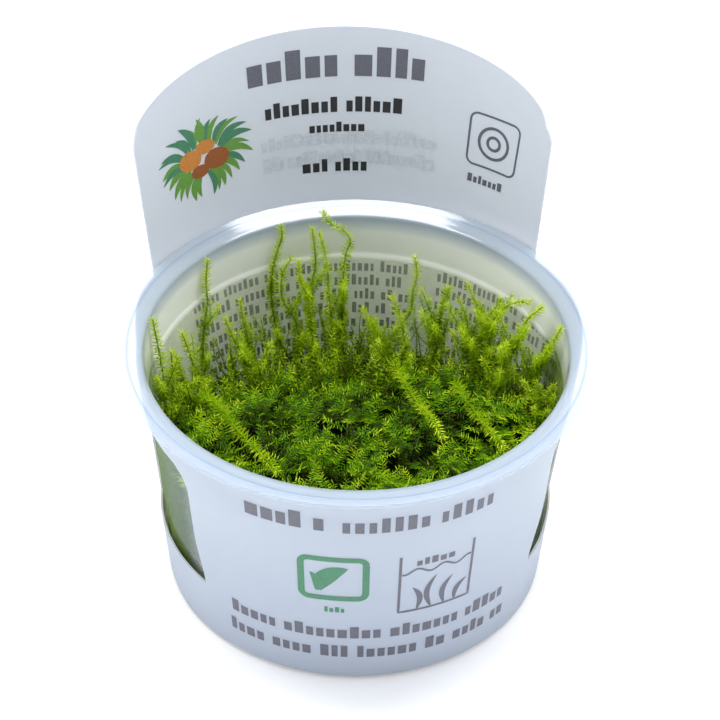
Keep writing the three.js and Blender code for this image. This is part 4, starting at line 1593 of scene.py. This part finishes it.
    def core(self, finish: ShadedMoss) -> bpy.types.Object:
        """Build the dark inside of the cushion, a lumpy closed body below the leafy stems.

        Args:
            finish: Its material.

        Returns:
            The piece, which stands for the CAD cushion.
        """
        around, rings, levels = 96, 22, 14
        floor = self.cup.floor_thickness + self.clearance
        vertices: list[Point] = [(0.0, 0.0, floor)]
        rows: list[list[int]] = []

        def row(points: list[Point]) -> None:
            """Add one ring of vertices."""
            rows.append(list(range(len(vertices), len(vertices) + len(points))))
            vertices.extend(points)

        def edge_height(azimuth: float) -> float:
            """Give the core's height at the wall."""
            x, y, _ = polar(azimuth, self.reach(self.top_back, self.core_inset), 0)
            return self.bed(x, y) - self.core_sunk

        step = 360 / around
        for level in range(levels + 1):
            share = level / levels
            points = []
            for i in range(around):
                azimuth = i * step
                z = floor + (edge_height(azimuth) - floor) * share
                radius = self.reach(z, self.core_inset)
                x, y, _ = polar(azimuth, radius, z)
                lump = 1.1 * noise.noise(Vector((x, y, z)) / 3.5)
                radius += lump + 0.5 * noise.noise(Vector((x, y, z * 0.4)) / 1.3)
                points.append(polar(azimuth, radius, z))
            row(points)
        for ring in range(1, rings):
            share = 1 - ring / rings
            points = []
            for i in range(around):
                x, y, _ = polar(i * step, self.reach(self.top_back, self.core_inset) * share, 0)
                lump = 1.4 * noise.noise(Vector((x, y, 7.0)) / 4.0)
                points.append((x, y, self.bed(x, y) - self.core_sunk + lump))
            row(points)
        vertices.append((0.0, 0.0, float(self.height(0, 0)) - self.core_sunk))
        faces = [[0, rows[0][(i + 1) % around], rows[0][i]] for i in range(around)]
        for lower, upper in zip(rows, rows[1:]):
            for i in range(around):
                j = (i + 1) % around
                faces.append([lower[i], lower[j], upper[j], upper[i]])
        top = len(vertices) - 1
        faces += [[rows[-1][i], rows[-1][(i + 1) % around], top] for i in range(around)]
        piece = mesh_piece("moss_core", vertices, faces, finish.build())
        dress(piece, ["moss_cushion"])
        return piece

    def cushion_path(self, x: float, y: float, heading: float, rng: np.random.Generator) -> np.ndarray:
        """Lay one short stem that comes out of the cushion, leans over and turns up at its tip.

        Args:
            x: Where it comes out, to the right of the axis.
            y: Where it comes out, behind the axis.
            heading: Direction that it leans in, in radians.
            rng: Source of random numbers.

        Returns:
            The stem's path.
        """
        length = float(rng.uniform(5.5, 9.5))
        steps = len(self.climb)
        climb = np.radians(self.climb) * float(rng.uniform(0.75, 1.25))
        sunk = 3.8 + self.rear_drop * float(self.thinning(y)) + float(rng.uniform(-0.8, 0.8))
        point = np.array([x, y, float(self.height(x, y)) - sunk])
        path = [point.copy()]
        for angle in climb:
            heading += float(rng.normal(0, 0.16))
            flat, rise = math.cos(angle) * length / steps, math.sin(angle) * length / steps
            point = point + np.array([flat * math.cos(heading), flat * math.sin(heading), rise])
            path.append(point.copy())
        return self.kept_in(np.array(path))

    def cushion(self, sprays: LeafySprays, material: bpy.types.Material) -> None:
        """Cover the cushion with overlapping leafy stems, in two pieces.

        Args:
            sprays: What grows the leaves.
            material: The leaves' material.
        """
        rng = np.random.default_rng(self.seed)
        stems = []
        rows = [curve_through([(*point, 0) for point in row], 1.0) for row in self.lying]
        fallen = np.vstack(rows)[:, :2]
        for i in range(self.cushion_stems):
            radius = self.reach(self.top_front, 2.2) * math.sqrt((i + 0.5) / self.cushion_stems)
            x = radius * math.cos(i * GOLDEN_ANGLE) + float(rng.normal(0, self.scatter))
            y = radius * math.sin(i * GOLDEN_ANGLE) + float(rng.normal(0, self.scatter))
            clump = noise.noise(Vector((x, y, 0.0)) / self.clump_size)
            if clump < self.clump_gap or rng.random() < self.rear_bareness * float(self.thinning(y)):
                continue
            # A fallen shoot presses the growth under it down
            if np.min(np.hypot(*(fallen - (x, y)).T)) < self.furrow and rng.random() < self.furrow_loss:
                continue
            flow = 2.6 * math.pi * noise.noise(Vector((x, y, 31.0)) / self.flow_size)
            heading = flow + float(rng.normal(0, 0.8))
            path = self.cushion_path(x, y, heading, rng)
            path[:, 2] += self.clump_relief * clump
            # Painted light: leaves are lighter at the front, at the sides, on the left and on raised
            # clumps, and each stem's foot is darker as painted shade
            front = float(smooth_step(-8, -26, y))
            side = float(smooth_step(16, 34, abs(x)))
            left = float(smooth_step(4, -16, x))
            painted_light = 0.23 + (0.21 + 0.2 * left) * front + 0.26 * side
            painted_light += 0.5 * clump + float(rng.normal(0, 0.1))
            leaf = float(rng.uniform(1.5, 2.0))
            stems.append(Stem(path, (0.14, 0.08), (leaf, leaf * 0.75), (painted_light - 0.55, painted_light + 0.36)))
        half = len(stems) // 2
        for number, part in enumerate((stems[:half], stems[half:]), 1):
            piece = sprays.grow(f"cushion_sprays_{number}", part, 0.27, material, 1.0)
            dress(piece)

    def against_wall(self, sprays: LeafySprays, material: bpy.types.Material) -> None:
        """Press stems against the inside of the wall, where the windows and a clear cup show them.

        Args:
            sprays: What grows the leaves.
            material: The leaves' material.
        """
        rng = np.random.default_rng(self.seed + 1)
        stems = []
        for _ in range(self.wall_stems):
            azimuth = float(rng.uniform(-180, 180))
            x, y, _ = polar(azimuth, self.edge_radius, 0)
            top = self.bed(x, y)
            z = float(rng.uniform(2.5, top - 3))
            lean = float(rng.normal(0, 0.6))
            length = float(rng.uniform(9, 15))
            depth = float(rng.uniform(0.55, 2.0))
            path = []
            for _ in range(7):
                path.append(polar(azimuth, self.reach(z, depth), z))
                z += math.cos(lean) * length / 6
                azimuth += math.degrees(math.sin(lean) * length / 6 / self.growth_radius)
                lean += float(rng.normal(0, 0.2))
                z = min(z, top + 1.5)
            # Painted shade: stems that end lower on the wall are darker
            age_and_shade = float(rng.uniform(0.1, 0.42)) * (0.6 + 0.4 * z / top)
            leaf = float(rng.uniform(1.0, 1.5))
            stems.append(Stem(np.array(path), (0.15, 0.09), (leaf, leaf * 0.8), (age_and_shade - 0.05, age_and_shade + 0.1)))
        piece = sprays.grow("wall_sprays", stems, 0.28, material)
        dress(piece)

    def rear_wisps(self, sprays: LeafySprays, material: bpy.types.Material) -> None:
        """Grow the thin olive stems that stand up at the back and sides of the cushion.

        Args:
            sprays: What grows the leaves.
            material: The leaves' material.
        """
        rng = np.random.default_rng(self.seed + 2)
        stems = []
        while len(stems) < self.wisps:
            radius = self.growth_radius * math.sqrt(float(rng.random()))
            azimuth = float(rng.uniform(70, 290))
            x, y, _ = polar(azimuth, radius, 0)
            if y < 13 - 0.55 * max(0.0, abs(x) - 16):
                continue
            lean_out = float(rng.normal(0.25, 0.3))
            lean_side = float(rng.normal(0, 0.4))
            rear = float(smooth_step(8, 26, y))
            length = float(rng.uniform(8, 19)) * (0.65 + 0.5 * rear)
            z = float(self.height(x, y)) - 2.5 - self.rear_drop * float(self.thinning(y))
            outward = np.array([x, y, 0]) / max(1.0, math.hypot(x, y))
            sideways = np.array([-outward[1], outward[0], 0])
            path = [np.array([x, y, z])]
            for _ in range(6):
                way = np.array([0, 0, 1.0]) + outward * lean_out + sideways * lean_side
                path.append(path[-1] + way / np.linalg.norm(way) * length / 6)
                lean_out += float(rng.normal(0, 0.14))
                lean_side += float(rng.normal(0, 0.2))
            leaf = float(rng.uniform(1.1, 1.7))
            # Lighter towards the right, and darker at the foot as painted shade
            age_and_shade = float(rng.uniform(0.24, 0.52)) + 0.14 * float(smooth_step(16, 32, x))
            path = self.kept_in(np.array(path))
            stems.append(Stem(path, (0.22, 0.11), (leaf, leaf * 0.8), (age_and_shade - 0.18, age_and_shade + 0.42)))
        piece = sprays.grow("rear_wisps", stems, 0.34, material)
        dress(piece)

    def long_shoots(self, sprays: LeafySprays, material: bpy.types.Material) -> None:
        """Grow the long shoots on the part's own paths, with short twigs near their feet.

        Args:
            sprays: What grows the leaves.
            material: The leaves' material.
        """
        rng = np.random.default_rng(self.seed + 3)
        stems = []
        for row in self.shoots:
            x, y = row[0]
            foot = (x, y, float(self.height(x, y)) - self.root_depth)
            path = curve_through([foot, *row[1:]], 0.7)
            leaf = float(rng.uniform(1.85, 2.2))
            stems.append(Stem(path, (0.34, 0.2), (leaf, leaf * 0.75), (0.6, 0.98)))
            right = x > 18
            for _ in range(int(rng.integers(6, 11) if right else rng.integers(2, 5))):
                start = path[int(rng.integers(len(path) // 8, max(2, 6 * len(path) // 10)))]
                turn = float(rng.uniform(0, 2 * math.pi))
                way = np.array([0.5 * math.cos(turn), 0.5 * math.sin(turn), 0.86])
                length = float(rng.uniform(5, 11) if right else rng.uniform(4, 9))
                curl = np.array([0, 0, 1.2])
                twig = [start + way * length * s + curl * s * s for s in np.linspace(0, 1, 6)]
                twig = self.kept_in(np.array(twig))
                stems.append(Stem(twig, (0.16, 0.09), (leaf * 0.85, leaf * 0.65), (0.46, 0.88)))
        names = [f"moss_shoot_{n + 1:02d}" for n in range(len(self.shoots))]
        piece = sprays.grow("long_shoots", stems, 0.11, material)
        dress(piece, names)

    def lying_shoots(self, sprays: LeafySprays, material: bpy.types.Material) -> None:
        """Grow the bright shoots that lie over the cushion.

        Args:
            sprays: What grows the leaves.
            material: The leaves' material.
        """
        stems = []
        for row in self.lying:
            points = []
            for x, y in row:
                lifted = float(self.height(x, y)) + self.lying_lift
                points.append((x, y, lifted + 0.5 * math.sin(x * y)))
            stems.append(Stem(curve_through(points, 0.7), (0.26, 0.16), (2.1, 1.6), (0.84, 1.04)))
        piece = sprays.grow("lying_shoots", stems, 0.15, material)
        dress(piece)

    def build(self, leaf: MossLeaf, sprout: MossLeaf, shade: ShadedMoss) -> None:
        """Build the core and everything that grows on it.

        Args:
            leaf: The cushion's leaves.
            sprout: The leaves of the stems that stand above the cushion.
            shade: The core's finish.
        """
        packed, drawn_out = leaf.build(), sprout.build()
        sprays = LeafySprays()
        self.core(shade)
        self.cushion(sprays, packed)
        self.against_wall(sprays, packed)
        self.rear_wisps(sprays, drawn_out)
        self.long_shoots(sprays, drawn_out)
        self.lying_shoots(sprays, packed)


# The studio


@dataclass
class Studio:
    """The floor, the lamps and the camera. None of them is part of the object."""

    azimuth: float = 6.5
    pitch: float = 39.56
    roll: float = 0.715
    distance: float = 672.96
    aim_height: float = 58.546
    lens: float = 160.0
    shift: Pair = (0.0047, -0.0228)
    sky: float = 0.74
    sky_tone: str = "#f6f9ff"
    dark_side: float = 0.82
    floor_half_width: float = 3000.0
    floor_drop: float = -0.05
    flat_reach: float = 1400.0
    sweep: float = 1200.0

    def floor(self, finish: StudioPaper) -> None:
        """Lay a sheet of background paper, curved up behind.

        Args:
            finish: The paper.
        """
        profile = [(-self.floor_half_width, self.floor_drop), (self.flat_reach, self.floor_drop)]
        for angle in np.linspace(0.15, 1.3, 9):
            y = self.flat_reach + self.sweep * math.sin(angle)
            profile.append((y, self.floor_drop + self.sweep * (1 - math.cos(angle))))
        vertices = [(x, y, z) for y, z in profile for x in (-self.floor_half_width, self.floor_half_width)]
        faces = [[2 * k, 2 * k + 1, 2 * k + 3, 2 * k + 2] for k in range(len(profile) - 1)]
        paper = mesh_piece("studio_floor", vertices, faces, finish.build())
        LOG.info("%s: stands outside the object", paper.name)

    def lamp(self, name: str, place: Point, aim: Point, size: Pair, power: float) -> None:
        """Hang one soft rectangular lamp.

        Args:
            name: The lamp's name.
            place: Where it hangs, in metres.
            aim: The point that it faces.
            size: Its width and height.
            power: Its power in watts.
        """
        data = bpy.data.lights.new(name, "AREA")
        data.shape = "RECTANGLE"
        data.size, data.size_y = size
        data.energy = power
        lamp = bpy.data.objects.new(name, data)
        bpy.context.scene.collection.objects.link(lamp)
        lamp.location = place
        way = Vector(aim) - Vector(place)
        lamp.rotation_mode = "QUATERNION"
        lamp.rotation_quaternion = way.to_track_quat("-Z", "Y")

    def light(self) -> None:
        """Set the pale surroundings and the soft lamps."""
        world = bpy.data.worlds.new("studio_surroundings")
        world.use_nodes = True
        world.node_tree.nodes.clear()
        tree = world.node_tree
        # The room is darker on the camera's side
        way = add_node(tree, "ShaderNodeTexCoord").outputs["Generated"]
        behind = add_node(tree, "ShaderNodeSeparateXYZ", {0: way}).outputs[1]
        feeds = {0: behind, 1: -0.9, 2: -0.1, 3: self.sky * self.dark_side, 4: self.sky}
        level = add_node(tree, "ShaderNodeMapRange", feeds).outputs[0]
        feeds = {"Color": linear(self.sky_tone), "Strength": level}
        sky = add_node(tree, "ShaderNodeBackground", feeds).outputs[0]
        add_node(tree, "ShaderNodeOutputWorld", {"Surface": sky})
        bpy.context.scene.world = world
        middle = (0.0, 0.0, 0.05)
        self.lamp("overhead_strip", (0.0, 0.24, 1.85), middle, (1.8, 0.44), 46.0)
        self.lamp("left_side", (-1.2, 0.0, 0.6), middle, (0.8, 0.8), 3.6)
        self.lamp("right_side", (1.2, 0.0, 0.6), middle, (0.8, 0.8), 3.6)

    def camera(self) -> None:
        """Put the camera at the photo's angle."""
        turn, pitch, roll = (math.radians(a) for a in (self.azimuth, self.pitch, self.roll))
        away = math.cos(pitch)
        forward = Vector((away * math.sin(turn), away * math.cos(turn), -math.sin(pitch)))
        level = Vector((math.cos(turn), -math.sin(turn), 0.0))
        upward = level.cross(forward)
        right = level * math.cos(roll) + upward * math.sin(roll)
        up = upward * math.cos(roll) - level * math.sin(roll)
        data = bpy.data.cameras.new("photo_view")
        data.lens = self.lens
        data.sensor_width = 36.0
        data.shift_x, data.shift_y = self.shift
        data.clip_start, data.clip_end = 0.05, 20.0
        data.dof.use_dof = False
        camera = bpy.data.objects.new("photo_view", data)
        bpy.context.scene.collection.objects.link(camera)
        basis = Matrix((right, up, -forward)).transposed().to_4x4()
        place = Vector((0, 0, self.aim_height * MM)) - forward * self.distance * MM
        camera.matrix_world = Matrix.Translation(place) @ basis
        bpy.context.scene.camera = camera

    def build(self) -> None:
        """Set up the whole studio."""
        self.floor(StudioPaper())
        self.light()
        self.camera()
        bpy.context.scene.view_settings.view_transform = "Standard"


def main() -> None:
    """Build the tub piece by piece, light it, and place the camera."""
    logging.basicConfig(level=logging.INFO, format="%(name)s: %(message)s")
    cup = Cup()
    cup.build(ClearPolypropylene())
    sleeve = CardSleeve()
    sleeve.build(CoatedCard())
    SleevePrinting(sleeve).build(OffsetInk())
    sprout = MossLeaf(
        name="moss_sprout_leaf",
        old_and_shaded="#1f2605",
        olive="#55630e",
        green="#7fa40e",
        lime="#b5d31c",
        tip="#d8e44a",
        through="#b2cd14",
        thinness=0.28,
    )
    MossBed(cup).build(MossLeaf(), sprout, ShadedMoss())
    Studio().build()


if __name__ == "__main__":
    main()
